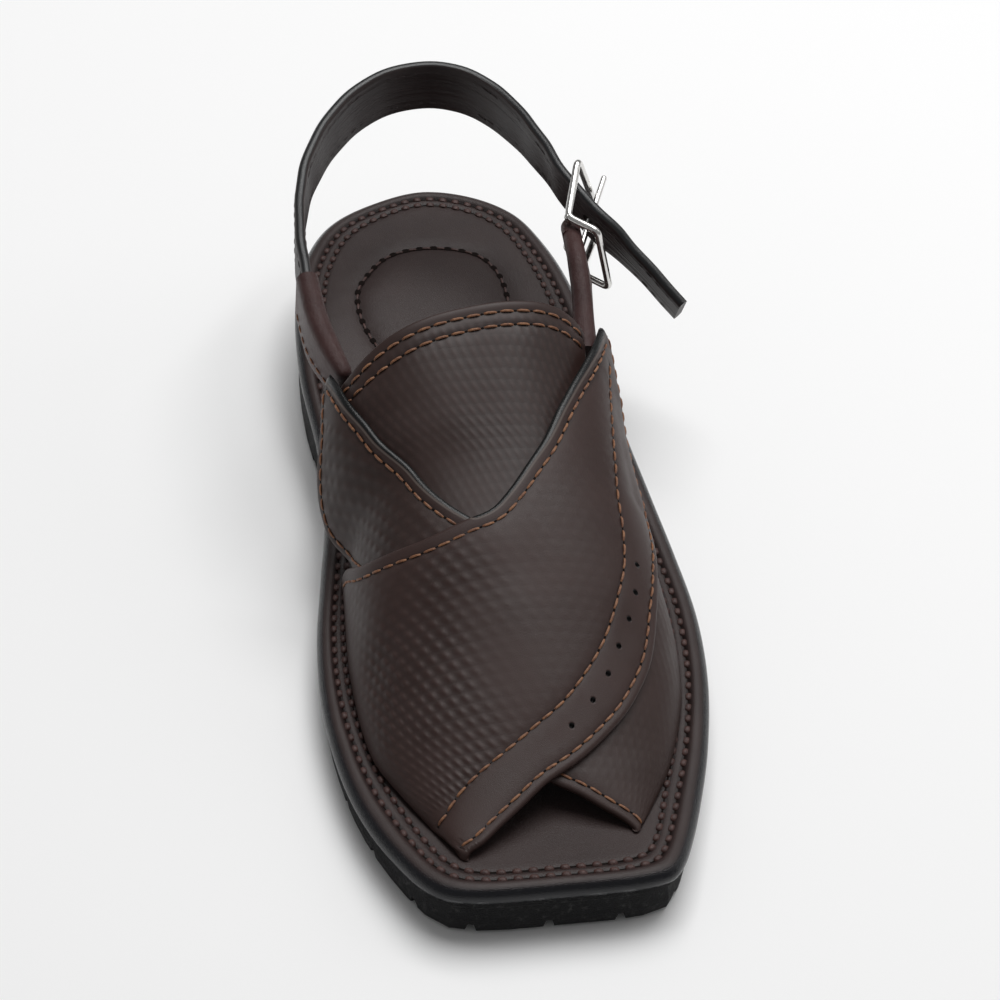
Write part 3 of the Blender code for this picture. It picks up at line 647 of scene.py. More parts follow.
# The vamp: two panels of embossed brown leather that cross over the foot, the over panel
# from the medial toe side to the lateral waist, with a few soft creases. Orange-brown thread
# follows their edges, the front band is plain and punched, and the rear edges are black.
INSTEP = 0.080
LEATHER = 0.0022
DEGREE = 0.00065
VAMP = (
    # station, medial, lateral, ridge, power
    (0.388, 0.414, 0.393, 1.100, 2.90),
    (0.458, 0.432, 0.393, 0.991, 2.80),
    (0.500, 0.443, 0.391, 0.916, 2.70),
    (0.542, 0.421, 0.396, 0.838, 2.60),
    (0.588, 0.366, 0.408, 0.756, 2.45),
    (0.658, 0.376, 0.430, 0.654, 2.25),
    (0.711, 0.383, 0.437, 0.575, 2.10),
    (0.763, 0.379, 0.426, 0.488, 1.95),
    (0.816, 0.362, 0.389, 0.400, 1.90),
    (0.865, 0.307, 0.339, 0.319, 1.90),
    (0.914, 0.238, 0.265, 0.254, 1.90),
    (0.942, 0.201, 0.220, 0.223, 1.90),
    (0.970, 0.140, 0.160, 0.194, 1.90),
)
OVER_FRONT = (
    (0, 0.951), (38, 0.943), (57, 0.931), (77, 0.912), (91.5, 0.893), (106, 0.876),
    (119, 0.853), (130, 0.826), (137, 0.794), (141, 0.760), (143.5, 0.723), (147, 0.685),
    (150.5, 0.655), (154, 0.615), (157, 0.570), (157.5, 0.520), (156, 0.470), (152, 0.430),
    (148, 0.412),
)
OVER_REAR = (
    (141.5, 0.424), (133, 0.470), (126.5, 0.502), (111.5, 0.560), (97.5, 0.603),
    (89, 0.628), (81.5, 0.645), (74, 0.650), (61, 0.656), (51.5, 0.655), (36.5, 0.645),
    (27, 0.632), (11.5, 0.597), (0, 0.579),
)
UNDER_FRONT = (
    (180, 0.938), (165, 0.935), (127.5, 0.918), (108, 0.903), (92, 0.889), (77, 0.866),
    (52, 0.780), (26, 0.652), (10, 0.590), (8.5, 0.569), (9.5, 0.549), (14, 0.524),
    (19, 0.510), (23.5, 0.497), (27, 0.481), (28.5, 0.462), (29.5, 0.448),
)
UNDER_REAR = (
    (35, 0.443), (43, 0.487), (49, 0.526), (53.3, 0.565), (61, 0.606), (73.5, 0.643),
    (90, 0.670), (115, 0.680), (140, 0.660), (160, 0.630), (180, 0.605),
)
CREASES = (
    # start and end, each in degrees and station, then the rise and the half width
    (28, 0.745, 92, 0.705, -0.00045, 0.0060),
    (80, 0.680, 97, 0.800, 0.00050, 0.0080),
    (101, 0.835, 137, 0.720, -0.00030, 0.0035),
    (148, 0.480, 144, 0.600, -0.00050, 0.0030),
    (153, 0.470, 151, 0.590, 0.00035, 0.0026),
    (30, 0.495, 19, 0.575, -0.00045, 0.0040),
    (128, 0.480, 120, 0.560, -0.00040, 0.0045),
    (58, 0.490, 72, 0.600, -0.00035, 0.0070),
    (18, 0.660, 34, 0.820, -0.00035, 0.0055),
    (118, 0.885, 150, 0.870, 0.00030, 0.0035),
)
PUNCHED = (
    # degrees around the vamp, station
    (134.1, 0.685), (131.5, 0.714), (128.1, 0.741), (123.3, 0.769), (119.0, 0.796),
    (112.8, 0.821), (103.6, 0.844),
)
BAND_ROW = (
    # degrees around the vamp, station, of the front band's inner row of thread
    (8, 0.912), (26, 0.905), (56, 0.880), (76, 0.860), (90, 0.841), (101, 0.822),
    (110, 0.795), (118, 0.760), (124, 0.720), (128, 0.690), (130, 0.655), (131, 0.620),
    (134, 0.580), (138, 0.540), (141, 0.500), (143, 0.460),
)
UPPER_PITCH = 0.0043
UPPER_STITCH = {"long": 0.84, "wide": 0.00072, "hole": 0.00042}
SEAM_SINK = 0.00032
EMBOSS_DEPTH = 0.00026
UNDER_BROWN = ((0.0280, 0.0138, 0.0112), (0.0355, 0.0186, 0.0158))
OVER_BROWN = ((0.0300, 0.0142, 0.0116), (0.0385, 0.0196, 0.0168))
# Painted shade in the hollows of the embossed weave.
EMBOSS_HOLLOW_SHADE = (0.008, 0.0045, 0.004)
# Painted shade along the vamp's sunk seams.
UPPER_SEAM_SHADE = (0.010, 0.0055, 0.0045)
# Painted shade inside the punched holes.
PUNCHED_HOLE_SHADE = (0.002, 0.0015, 0.0015)
# Painted highlight along the inner side of the black painted edges.
EDGE_HIGHLIGHT = (0.105, 0.085, 0.074)
EDGE_PAINT = (0.0040, 0.0045, 0.0048)
UPPER_THREAD = ((0.130, 0.048, 0.022), (0.260, 0.115, 0.050))


def crease(x, y):
    """Rise of the soft creases at a place on the flat leather."""
    total = 0.0
    for a, b, c, d, rise, half in CREASES:
        ax, ay = a * DEGREE, y_at(b)
        bx, by = c * DEGREE - ax, y_at(d) - ay
        part = min(max(((x - ax) * bx + (y - ay) * by) / (bx * bx + by * by), 0.0), 1.0)
        far = (x - ax - bx * part) ** 2 + (y - ay - by * part) ** 2
        if far < (2.5 * half) ** 2:
            total += rise * math.exp(-far / half ** 2)
    return total


def vamp_point(x, y, lift=0.0):
    """Point of the vamp over a place on the flat leather, lifted along its normal."""
    around = min(max(x / DEGREE, 0.0), 180.0)
    medial, lateral, ridge, power = between(VAMP, station_at(y))
    foot = seat(y) - SEAT_DROP + 0.0005
    middle = (lateral - medial) / 2 * BALL_WIDTH
    half = (lateral + medial) / 2 * BALL_WIDTH
    c = math.cos(math.radians(around))
    s = math.sin(math.radians(around))
    reach = (abs(c) ** power + abs(s) ** power) ** (-1 / power)
    reach *= 1 + crease(x, y) * min(1.0, 3 * s) / half
    point = Vector((middle - half * reach * c, y, foot + (ridge * INSTEP - foot) * reach * s))
    if lift:
        normal = vamp_normal(x, y)
        floor = point.z if s < 0.01 else foot
        point = point + normal * lift
        point.z = max(point.z, floor)
    return point


def vamp_normal(x, y):
    """Outward normal of the vamp over a place on the flat leather."""
    da = vamp_point(x + DEGREE, y) - vamp_point(x - DEGREE, y)
    ds = vamp_point(x, y - 0.00114) - vamp_point(x, y + 0.00114)
    normal = ds.cross(da).normalized()
    if x < 3 * DEGREE or x > 177 * DEGREE:
        normal.z = 0
        normal.normalize()
    return normal


def flat(rows, step=0.0015):
    """Edge rows as an even curve on the flat leather."""
    line = through([(around * DEGREE, y_at(station)) for around, station in rows])
    return evenly(line, max(2, round(run_length(line, 2)[-1] / step)), measure=2)


def beside(line, distance):
    """The line moved to its left by a distance measured on the foot's form."""
    made = []
    for k, point in enumerate(line):
        along = line[min(k + 1, len(line) - 1)] - line[max(k - 1, 0)]
        x, y = point
        px = (vamp_point(x + DEGREE, y) - vamp_point(x - DEGREE, y)) / (2 * DEGREE)
        if x < DEGREE or x > 179 * DEGREE:
            px = px * 2
        py = (vamp_point(x, y + 0.001) - vamp_point(x, y - 0.001)) / 0.002
        track = px * along[0] + py * along[1]
        across = px.cross(py).cross(track).normalized()
        a, b, c = px.dot(px), px.dot(py), py.dot(py)
        d, e = px.dot(across), py.dot(across)
        scale = distance / (a * c - b * b)
        made.append(Vector((x + (c * d - b * e) * scale, y + (a * e - b * d) * scale)))
    return made


def trimmed(line, start, end):
    """A line shortened by a length at its start and at its end."""
    lengths = run_length(line, 2)
    return [p for p, at in zip(line, lengths) if start <= at <= lengths[-1] - end]


def within(line, outline, gap):
    """The longest stretch of a line that lies inside an outline, clear of it by a gap."""
    tree = tree_of(outline)
    best = []
    here = []
    for point in line:
        if inside(point, outline) and tree.find((*point, 0.0))[2] > gap:
            here.append(point)
        else:
            here = []
        if len(here) > len(best):
            best = list(here)
    return best


def leather_sheet(name, outline, middle_lift, thick, sewn, looks, slot_name,
                  rows=(), punched=(), grid=0.0021):
    """Closed sheet of leather over the foot's form, with rolled edges and sunk seams.

    The sheet is worked out flat: its outline, lines beside it, the sewn rows and a grid
    are triangulated once, then laid over the form as an upper and a lower skin.
    """
    border = len(outline)
    places = list(outline)
    edge_tree = tree_of(evenly(outline + outline[:1], border * 6, measure=2))
    seam_points = [p for line in sewn for p in evenly(line, max(2, len(line) * 2), measure=2)]
    seam_tree = tree_of(seam_points) if seam_points else None
    hole_tree = tree_of(punched) if punched else None
    taken = []

    def take(point, gap, own):
        """Keep a place if it lies inside and clear of the edge and of what is kept."""
        if edge_tree.find((*point, 0.0))[2] < gap or not inside(point, outline):
            return
        places.append(Vector(point))
        if own:
            taken.append(Vector(point))

    for centre in punched:
        for radius, count in ((0.0, 1), (0.00055, 10), (0.00075, 12), (0.0012, 12)):
            for turn in range(count):
                angle = math.tau * (turn + 0.5 * (count == 12)) / count
                take(centre + Vector((math.cos(angle), math.sin(angle))) * radius, 0.001, True)
    for line in sewn:
        for offset in (0.0, -0.0006, 0.0006, -0.0013, 0.0013):
            for point in beside(line, offset) if offset else line:
                take(point, 0.0008, True)
    closed = outline + outline[:2]
    for depth in (0.00025, 0.0007, 0.0013):
        for k in range(border):
            along = (closed[k + 1] - closed[k - 1 if k else border - 1]).normalized()
            for sign in (-1, 1):
                point = closed[k] + Vector((-along[1], along[0])) * depth * sign
                take(point, depth * 0.8, True)
    taken_tree = tree_of(taken)
    low = Vector((min(p[0] for p in outline), min(p[1] for p in outline)))
    high = Vector((max(p[0] for p in outline), max(p[1] for p in outline)))
    row = 0
    y = low[1]
    while y < high[1]:
        x = low[0] + (row % 2) * grid / 2
        while x < high[0]:
            if taken_tree.find((x, y, 0.0))[2] > grid * 0.55:
                take((x, y), 0.0016, False)
            x += grid
        y += grid * 0.87
        row += 1
    edges = [(k, (k + 1) % border) for k in range(border)]
    flats, _, triangles, _, _, _ = delaunay_2d_cdt(places, edges, [], 1, 1e-7)
    points = []
    keeps = {"edge_gap": [], "hole_gap": [], "seam_gap": []}
    roll = thick / 2
    lower = {}
    for side in (1, -1):
        for k, place in enumerate(flats):
            gap = edge_tree.find((*place, 0.0))[2]
            if k < border:
                gap = 0.0
                if side < 0:
                    lower[k] = k
                    continue
            rise = roll
            if gap < roll:
                rise = math.sqrt(max(roll ** 2 - (roll - gap) ** 2, 0.0))
            lift = middle_lift + side * rise
            seam_gap = seam_tree.find((*place, 0.0))[2] if seam_tree else 1.0
            hole_gap = hole_tree.find((*place, 0.0))[2] if hole_tree else 1.0
            if side > 0:
                lift -= SEAM_SINK * math.exp(-((seam_gap / 0.0009) ** 2))
                if hole_gap < 0.0006:
                    lift -= 0.0011
            else:
                lower[k] = len(points)
            points.append(vamp_point(place[0], place[1], lift))
            keeps["edge_gap"].append(gap)
            keeps["hole_gap"].append(hole_gap if side > 0 else 1.0)
            keeps["seam_gap"].append(seam_gap if side > 0 else 1.0)
    faces = []
    for a, b, c in triangles:
        faces.append((a, b, c))
        faces.append((lower[c], lower[b], lower[a]))
    made = add_piece(name, points, faces, looks, slot_name, smooth_to=80)
    uv = list(flats) + [flats[k] for k in range(len(flats)) if lower[k] >= len(flats)]
    keep_places(made, uv)
    for label, values in keeps.items():
        keep_values(made, label, values)
    for label, measure in rows:
        keep_values(made, label, [measure(uv[k]) for k in range(len(points))])
    return made


def gap_to(line):
    """Measure of a place's distance from a line on the flat leather."""
    tree = tree_of(evenly(line, len(line) * 5, measure=2))
    return lambda place: tree.find((*place, 0.0))[2]


def over_vamp(line, lift):
    """Points and normals of a flat line laid on the foot's form."""
    return [vamp_point(*p, lift) for p in line], [vamp_normal(*p) for p in line]


def make_weave_group():
    """Embossed weave: staggered rows of soft oblong cushions, leaning to one side, with a mask for painted
    shade in the hollows between them.
    """
    group, start, end = new_group(
        "woven_emboss",
        (("Vector", "NodeSocketVector", None), ("Across", "NodeSocketFloat", 300.0),
         ("Along", "NodeSocketFloat", 330.0), ("Lean", "NodeSocketFloat", 0.30),
         ("Parting", "NodeSocketFloat", 7.0)),
        (("Height", "NodeSocketFloat"), ("Hollow Shade", "NodeSocketFloat")),
    )
    parts = group.nodes.new("ShaderNodeSeparateXYZ")
    group.links.new(start.outputs["Vector"], parts.inputs[0])
    v = math_node(group, "MULTIPLY", parts.outputs["Y"], start.outputs["Along"])
    u = math_node(group, "MULTIPLY", parts.outputs["X"], start.outputs["Across"])
    row = math_node(group, "FLOOR", v)
    v_in = math_node(group, "SUBTRACT", math_node(group, "FRACT", v), 0.5)
    lean = math_node(group, "MULTIPLY", v_in, start.outputs["Lean"])
    shift = math_node(group, "MULTIPLY", math_node(group, "MODULO", row, 2.0), 0.5)
    moved = math_node(group, "ADD", math_node(group, "ADD", u, shift), lean)
    u_in = math_node(group, "SUBTRACT", math_node(group, "FRACT", moved), 0.5)
    far = math_node(group, "MULTIPLY", math_node(group, "MULTIPLY", u_in, u_in), 13.0)
    long = math_node(group, "MULTIPLY", math_node(group, "MULTIPLY", v_in, v_in), start.outputs["Parting"])
    depth = math_node(group, "MULTIPLY", math_node(group, "ADD", far, long), -1.0)
    height = math_node(group, "EXPONENT", depth)
    group.links.new(height, end.inputs["Height"])
    # Mask of painted shade, strongest in the hollows between the cushions.
    hollow_shade = math_node(group, "POWER", math_node(group, "SUBTRACT", 1.0, height), 2.0)
    group.links.new(hollow_shade, end.inputs["Hollow Shade"])
    return group


weave_group = make_weave_group()


def make_panel_leather(name, brown, light, plain_name=None, painted_name=None,
                       across=285.0, parting=7.0, deep=EMBOSS_DEPTH):
    """Embossed brown leather, plain in its band, black where an edge is painted."""
    made, tree, shader, where = base_material(name)
    uv = tree.nodes.new("ShaderNodeUVMap")
    uv.uv_map = "flat"
    skin = place_group(tree, skin_group, where, Grain_Scale=2600.0)
    weave = place_group(tree, weave_group, uv.outputs["UV"], Across=across, Parting=parting)
    woven = spread(tree, noise_node(tree, where, 24.0, detail=1.0), 0.34, 0.60, 0.30, 1.0)
    woven = math_node(tree, "MULTIPLY", woven, read_value(tree, "weave"))
    woven = math_node(tree, "MULTIPLY", woven, spread(tree, read_value(tree, "edge_gap"), 0.0030, 0.0060))
    if plain_name:
        plain = spread(tree, read_value(tree, plain_name), 0.0120, 0.0160)
        woven = math_node(tree, "MULTIPLY", woven, plain)
    tone = spread(tree, skin.outputs["Tone"], 0.3, 0.7)
    shade = mix_colour(tree, tone, brown, light)
    # Painted shade: the weave's hollows are darkened.
    hollow_shade = math_node(tree, "MULTIPLY", math_node(tree, "MULTIPLY", weave.outputs["Hollow Shade"], woven), 0.40)
    shade = mix_colour(tree, hollow_shade, shade, EMBOSS_HOLLOW_SHADE)
    # Painted shade: the leather darkens along the sunk seams.
    seam_shade = spread(tree, read_value(tree, "seam_gap"), 0.0003, 0.0011, 0.5, 0.0)
    shade = mix_colour(tree, seam_shade, shade, UPPER_SEAM_SHADE)
    # Painted shade: the punched holes are near-black.
    dark = spread(tree, read_value(tree, "hole_gap"), 0.0007, 0.0009, 1.0, 0.0)
    shade = mix_colour(tree, dark, shade, PUNCHED_HOLE_SHADE)
    rough = spread(tree, skin.outputs["Tone"], 0.3, 0.7, 0.44, 0.54)
    if painted_name:
        gap = read_value(tree, painted_name)
        # Painted highlight: a thin pale line where the edge's roll meets the face, inside the black paint.
        line = spread(tree, gap, 0.0010, 0.0013, 0.0, 0.8)
        line = math_node(tree, "MULTIPLY", line, spread(tree, gap, 0.0014, 0.0017, 1.0, 0.0))
        shade = mix_colour(tree, line, shade, EDGE_HIGHLIGHT)
        paint = spread(tree, gap, 0.0009, 0.0012, 1.0, 0.0)
        shade = mix_colour(tree, paint, shade, EDGE_PAINT)
        rough = math_node(tree, "SUBTRACT", rough, math_node(tree, "MULTIPLY", paint, 0.22))
    tree.links.new(shade, shader.inputs["Base Color"])
    tree.links.new(rough, shader.inputs["Roughness"])
    shader.inputs["Specular IOR Level"].default_value = 0.33
    height = math_node(tree, "MULTIPLY", weave.outputs["Height"], woven)
    grain = math_node(tree, "MULTIPLY", skin.outputs["Height"], 0.10)
    bump(tree, shader, math_node(tree, "ADD", height, grain), deep)
    return made


def fading(middle, half, low):
    """Measure that is low over a stretch of the vamp's width, in degrees, and 1 beside it."""
    def measure(place):
        """Strength of the weave at a flat place."""
        around = place[0] / DEGREE
        off = abs(around - middle) / half
        foot = min(max(around - 4, 0.0) / 18, 1.0)
        return foot * (low + (1 - low) * min(max(off - 0.6, 0.0) / 0.6, 1.0))
    return measure


def build_vamp():
    """Both panels with their seams and the punched holes of the front band."""
    thread = ([], [])
    holes = ([], [])
    under_front = flat(UNDER_FRONT)
    under_rear = flat(UNDER_REAR)
    under = under_front + under_rear
    over_front = flat(OVER_FRONT)
    over_rear = flat(OVER_REAR)
    over = over_front + over_rear
    band = flat(BAND_ROW)
    under_v = [p for p in under_rear if p[0] < 82 * DEGREE]
    over_v = [p for p in over_rear if p[0] > 76 * DEGREE]
    under_sewn = [
        within(beside(under_front, -0.0030), under, 0.0012),
        trimmed(within(beside(under_rear, -0.0040), under, 0.0010), 0.0020, 0.0020),
    ]
    over_sewn = [
        within(beside(over_front, 0.0028), over, 0.0012),
        within(band, over, 0.0030),
        trimmed(within(beside(over_rear, 0.0040), over, 0.0010), 0.0020, 0.0020),
    ]
    punched = [Vector((around * DEGREE, y_at(station))) for around, station in PUNCHED]
    look = make_panel_leather("under_panel_leather", *UNDER_BROWN, painted_name="rear_gap")
    leather_sheet("under_panel", under, -0.5 * LEATHER - 0.00005, LEATHER, under_sewn,
                  [look], "upper_leather",
                  rows=(("rear_gap", gap_to(under_v)), ("weave", fading(150, 55, 0.25))))
    look = make_panel_leather("over_panel_leather", *OVER_BROWN,
                              plain_name="front_gap", painted_name="rear_gap")
    made = leather_sheet("over_panel", over, 0.5 * LEATHER, LEATHER - 0.0001, over_sewn,
                         [look], "upper_leather",
                         rows=(("rear_gap", gap_to(over_v)), ("front_gap", gap_to(over_front)),
                               ("weave", fading(112, 42, 0.18))),
                         punched=punched)
    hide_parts("upper")
    for lines, lift in ((under_sewn, -0.00035), (over_sewn, LEATHER - 0.0004)):
        for line in lines:
            points, normals = over_vamp(line, lift)
            seam(points, normals, UPPER_PITCH, thread, holes, high=0.00030, **UPPER_STITCH)
    look = make_thread("upper_thread", *UPPER_THREAD)
    add_sewing("vamp_seams", "vamp_needle_holes", thread, holes, look, "upper_leather")


build_vamp()

# The tongue: an arched sheet of the same embossed leather under both panels, filling the V
# between them, with two rows of thread along its free edge.
TONGUE = 0.0018
TONGUE_REAR = (
    (35, 0.461), (43, 0.465), (52.5, 0.463), (64, 0.458), (78, 0.451), (96, 0.444),
    (110, 0.440), (127, 0.434), (139.5, 0.431),
)
TONGUE_FRONT = ((130, 0.680), (90, 0.735), (48, 0.680))
TONGUE_PITCH = 0.0048
TONGUE_BROWN = ((0.0295, 0.0150, 0.0125), (0.0375, 0.0202, 0.0176))


def build_tongue():
    """Tongue sheet and its two sewn rows."""
    rear = flat(TONGUE_REAR)
    front = flat(TONGUE_FRONT)
    sides = []
    for a, b in ((rear[-1], front[0]), (front[-1], rear[0])):
        steps = max(2, round((b - a).length / 0.0015))
        sides.append([a.lerp(b, k / steps) for k in range(1, steps)])
    outline = rear + sides[0] + front + sides[1]
    sewn = [
        within(beside(rear, -0.0034), outline, 0.0012),
        within(beside(rear, -0.0076), outline, 0.0012),
    ]
    look = make_panel_leather("tongue_leather", *TONGUE_BROWN, across=440.0, parting=5.0, deep=0.00007)
    lift = -LEATHER - 0.0006
    made = leather_sheet("tongue_sheet", outline, lift - TONGUE / 2, TONGUE, sewn, [look], "tongue_leather",
                         rows=(("weave", fading(0, 1, 1.0)),))
    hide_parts("tongue")
    thread = ([], [])
    holes = ([], [])
    for line in sewn:
        points, normals = over_vamp(line, lift - 0.0003)
        seam(points, normals, TONGUE_PITCH, thread, holes, **UPPER_STITCH)
    look = bpy.data.materials["upper_thread"]
    add_sewing("tongue_seams", "tongue_needle_holes", thread, holes, look, "tongue_leather")


build_tongue()

# The sleeve on the medial side and the loop on the lateral side: folded rolls of thin
# reddish leather, sewn to the ends of the panels. The sleeve holds the heel strap's end,
# and the loop goes round the buckle's centre bar and has a slot for the prong.
STRAP_WIDTH = 0.017
SLEEVE_THICK = 0.0064
LOOP_THICK = 0.0056
WIRE = 0.0011
BAR_LENGTH = 0.0230
BAR_TOP_SHARES = (0.3224, 0.2772, 0.8938)
BAR_DIRECTION = Vector((0.231, 0.069, -0.970)).normalized()
SLEEVE = (
    # side, station, height of the top edge, height, thickness
    (-0.342, 0.4370, 0.735, 0.735, 0.760),
    (-0.362, 0.4175, 0.765, 0.882, 0.920),
    (-0.391, 0.3772, 0.810, 1.106, 1.000),
    (-0.404, 0.3211, 0.850, 1.176, 1.000),
)
LOOP = (
    # side, station, height of the top edge, height, thickness
    (0.312, 0.4291, 0.7375, 0.647, 1.250),
    (0.314, 0.4070, 0.7650, 0.765, 1.160),
    (0.321, 0.3702, 0.8125, 0.882, 1.040),
    (0.322, 0.3246, 0.8688, 0.941, 1.000),
)
DOWN = Vector((0, 0, -1))
SLEEVE_NOSE = (
    # how far ahead of the front end, share of the thickness
    (0.0021, 0.30), (0.0018, 0.62), (0.0011, 0.86),
)
SLEEVE_MOUTH = (
    # how far back from the rear end, thickness, height
    (0.0, 0.0050, 0.0188), (0.0008, 0.0042, 0.0180), (0.0060, 0.0038, 0.0178),
)
TONGUE_SHARES = (-1.45, -0.9, -0.4, 0.0, 0.3, 0.55, 0.76, 0.9, 0.975)
SLEEVE_PITCH = 0.0042
ROLL_BROWN = ((0.0340, 0.0125, 0.0115), (0.0530, 0.0235, 0.0220))


def placed(side, station, height):
    """Point from shares of the ball width, the length and the instep."""
    return Vector((side * BALL_WIDTH, y_at(station), height * INSTEP))


def by_bar(shares):
    """Point set off from the top of the buckle's bar by shares of the bar's length."""
    return placed(*BAR_TOP_SHARES) + Vector(shares) * BAR_LENGTH


def headings(points):
    """Unit direction of a path at each of its points."""
    made = []
    for k in range(len(points)):
        before = points[max(k - 1, 0)]
        after = points[min(k + 1, len(points) - 1)]
        made.append((after - before).normalized())
    return made


def band_ring(centre, along, across, thick, high, corners=0.46, steps=4):
    """Rounded section of a flat band, starting at its outer top corner."""
    across = (across - along * across.dot(along)).normalized()
    out = along.cross(across).normalized()
    radius = min(thick, high) * corners
    ring = []
    for a_sign, b_sign, turn in ((1, 1, 0), (1, -1, 1), (-1, -1, 2), (-1, 1, 3)):
        for step in range(steps + 1):
            angle = math.pi / 2 * (turn + step / steps)
            a = a_sign * (thick / 2 - radius) + radius * math.sin(angle)
            b = b_sign * (high / 2 - radius) + radius * math.cos(angle)
            ring.append(centre + out * a + across * b)
        if turn in (0, 2):
            for share in (0.2, 0.4, 0.6, 0.8):
                b = (high / 2 - radius) * (b_sign + (-2 * b_sign) * share)
                ring.append(centre + out * a_sign * thick / 2 + across * b)
    return ring


def make_roll_leather():
    """Reddish brown leather with a soft sheen and shallow creases."""
    made, tree, shader, where = base_material("roll_leather")
    skin = place_group(tree, skin_group, where, Grain_Scale=2000.0)
    tone = spread(tree, skin.outputs["Tone"], 0.3, 0.7)
    colour = mix_colour(tree, tone, *ROLL_BROWN)
    tree.links.new(colour, shader.inputs["Base Color"])
    shader.inputs["Roughness"].default_value = 0.42
    shader.inputs["Specular IOR Level"].default_value = 0.26
    wave = noise_node(tree, where, 420.0, detail=3.0)
    grain = math_node(tree, "MULTIPLY", skin.outputs["Height"], 0.25)
    bump(tree, shader, math_node(tree, "ADD", wave, grain), 0.00030)
    return made


roll_look = make_roll_leather()


def build_sleeve():
    """Sleeve with a rounded front end, its mouth turned in round the strap, and its outer row."""
    rows = [(*placed(*row[:3]), row[3] * STRAP_WIDTH, row[4] * SLEEVE_THICK) for row in SLEEVE]
    rows = evenly(through(rows), 24)
    centres = [Vector(row[:3]) + DOWN * row[3] / 2 for row in rows]
    along = headings(centres)
    rings = []
    for ahead, share in SLEEVE_NOSE:
        start = centres[0] - along[0] * ahead
        rings.append(band_ring(start, along[0], DOWN, rows[0][4] * share, rows[0][3] * (0.6 + 0.4 * share)))
    for centre, heading, row in zip(centres, along, rows):
        rings.append(band_ring(centre, heading, DOWN, row[4], row[3]))
    for back, thick, high in SLEEVE_MOUTH:
        rings.append(band_ring(centres[-1] - along[-1] * back, along[-1], DOWN, thick, high))
    points, faces = skin_over(rings)
    made = add_piece("sleeve_roll", points, faces, [roll_look], "sleeve_leather")
    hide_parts("medial_sleeve")
    thread = ([], [])
    holes = ([], [])
    line = []
    normals = []
    for centre, heading, row in list(zip(centres, along, rows))[2:-1]:
        out = heading.cross(DOWN).normalized()
        if out.x > 0:
            out = -out
        line.append(centre + out * row[4] * 0.485 + DOWN * row[3] * 0.22)
        normals.append(out)
    seam(line, normals, SLEEVE_PITCH, thread, holes, wide=0.00060, high=0.00025, hole=0.00035)
    look = bpy.data.materials["upper_thread"]
    add_sewing("sleeve_seam", "sleeve_needle_holes", thread, holes, look, "sleeve_leather")


def build_loop():
    """Loop round the centre bar in two tongues, with the prong's slot between them."""
    middle = by_bar((0, 0, 0)) + BAR_DIRECTION * BAR_LENGTH / 2
    rows = [(*placed(*row[:3]), row[3] * STRAP_WIDTH, row[4] * LOOP_THICK) for row in LOOP]
    rows = evenly(through(rows), 16)
    centres = []
    widths = []
    for k, row in enumerate(rows):
        across = DOWN.lerp(BAR_DIRECTION, k / (len(rows) - 1)).normalized()
        centres.append(Vector(row[:3]) + across * row[3] / 2)
        widths.append(across)
    heading = (middle - centres[-1]).normalized()
    high = BAR_LENGTH - 5.2 * WIRE
    turn = LOOP_THICK / 2
    rings = []
    along = headings(centres + [middle])
    for k, row in enumerate(rows):
        rings.append(band_ring(centres[k], along[k], widths[k], row[4], row[3]))
    slot_start = middle - heading * 0.0040
    for share in (0.35, 0.7, 1.0):
        rings.append(band_ring(centres[-1].lerp(slot_start, share), heading, BAR_DIRECTION, LOOP_THICK, high))
    whole = skin_over(rings)
    half = high / 2 - 0.0014
    for sign in (-1, 1):
        centre = middle + BAR_DIRECTION * sign * (high / 2 - half / 2)
        tongue = []
        for share in TONGUE_SHARES:
            thick = LOOP_THICK * math.sqrt(1 - max(share, 0.0) ** 2)
            spot = centre + heading * turn * share
            tongue.append(band_ring(spot, heading, BAR_DIRECTION, thick, half, corners=0.3))
        join(whole, skin_over(tongue))
    made = add_piece("loop_roll", *whole, [roll_look], "loop_leather")
    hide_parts("buckle_loop")


build_sleeve()
build_loop()

# The heel strap: two layers of leather, black inside and brown outside, with painted edges
# and a sewn row along each. It comes out of the sleeve, runs round the heel, through the
# buckle, and its free end hangs past it.
STRAP_THICK = 0.0030
STRAP = (
    # side, station, height, across x, y, z
    (-0.398, 0.3544, 0.8125, 0.00, 0.00, -1.00),
    (-0.404, 0.3211, 0.8313, 0.00, 0.00, -1.00),
    (-0.405, 0.2649, 0.8660, 0.00, 0.00, -1.00),
    (-0.389, 0.2018, 0.9000, 0.00, 0.00, -1.00),
    (-0.349, 0.1500, 0.9360, 0.00, 0.00, -1.00),
    (-0.287, 0.1060, 0.9680, 0.00, 0.01, -1.00),
    (-0.206, 0.0700, 0.9930, 0.00, 0.02, -1.00),
    (-0.107, 0.0450, 1.0120, 0.00, 0.04, -1.00),
    (0.000, 0.0370, 1.0200, 0.00, 0.05, -1.00),
    (0.105, 0.0450, 1.0160, 0.02, 0.05, -1.00),
    (0.190, 0.0730, 1.0000, 0.06, 0.04, -1.00),
    (0.254, 0.1140, 0.9813, 0.12, 0.03, -1.00),
    (0.299, 0.1649, 0.9625, 0.18, 0.05, -1.00),
)
STRAP_PAST_BAR = (
    # x, y, z as shares of the bar's length, across x, y, z
    (0.048, 0.826, 0.165, 0.23, 0.07, -0.97),
    (0.317, 0.361, -0.013, 0.22, 0.16, -0.96),
    (0.839, -0.204, -0.391, 0.14, 0.50, -0.85),
    (1.409, -0.852, -0.848, 0.06, 0.64, -0.77),
)
STRAP_STEP = 0.0018
STRAP_PITCH = 0.0040
STRAP_LINING = ((0.0110, 0.0085, 0.0088), (0.0260, 0.0200, 0.0195))
STRAP_BROWN = ((0.0160, 0.0080, 0.0078), (0.0260, 0.0145, 0.0135))
STRAP_PAINT = (0.0050, 0.0055, 0.0062)
STRAP_THREAD = ((0.018, 0.011, 0.011), (0.035, 0.022, 0.021))


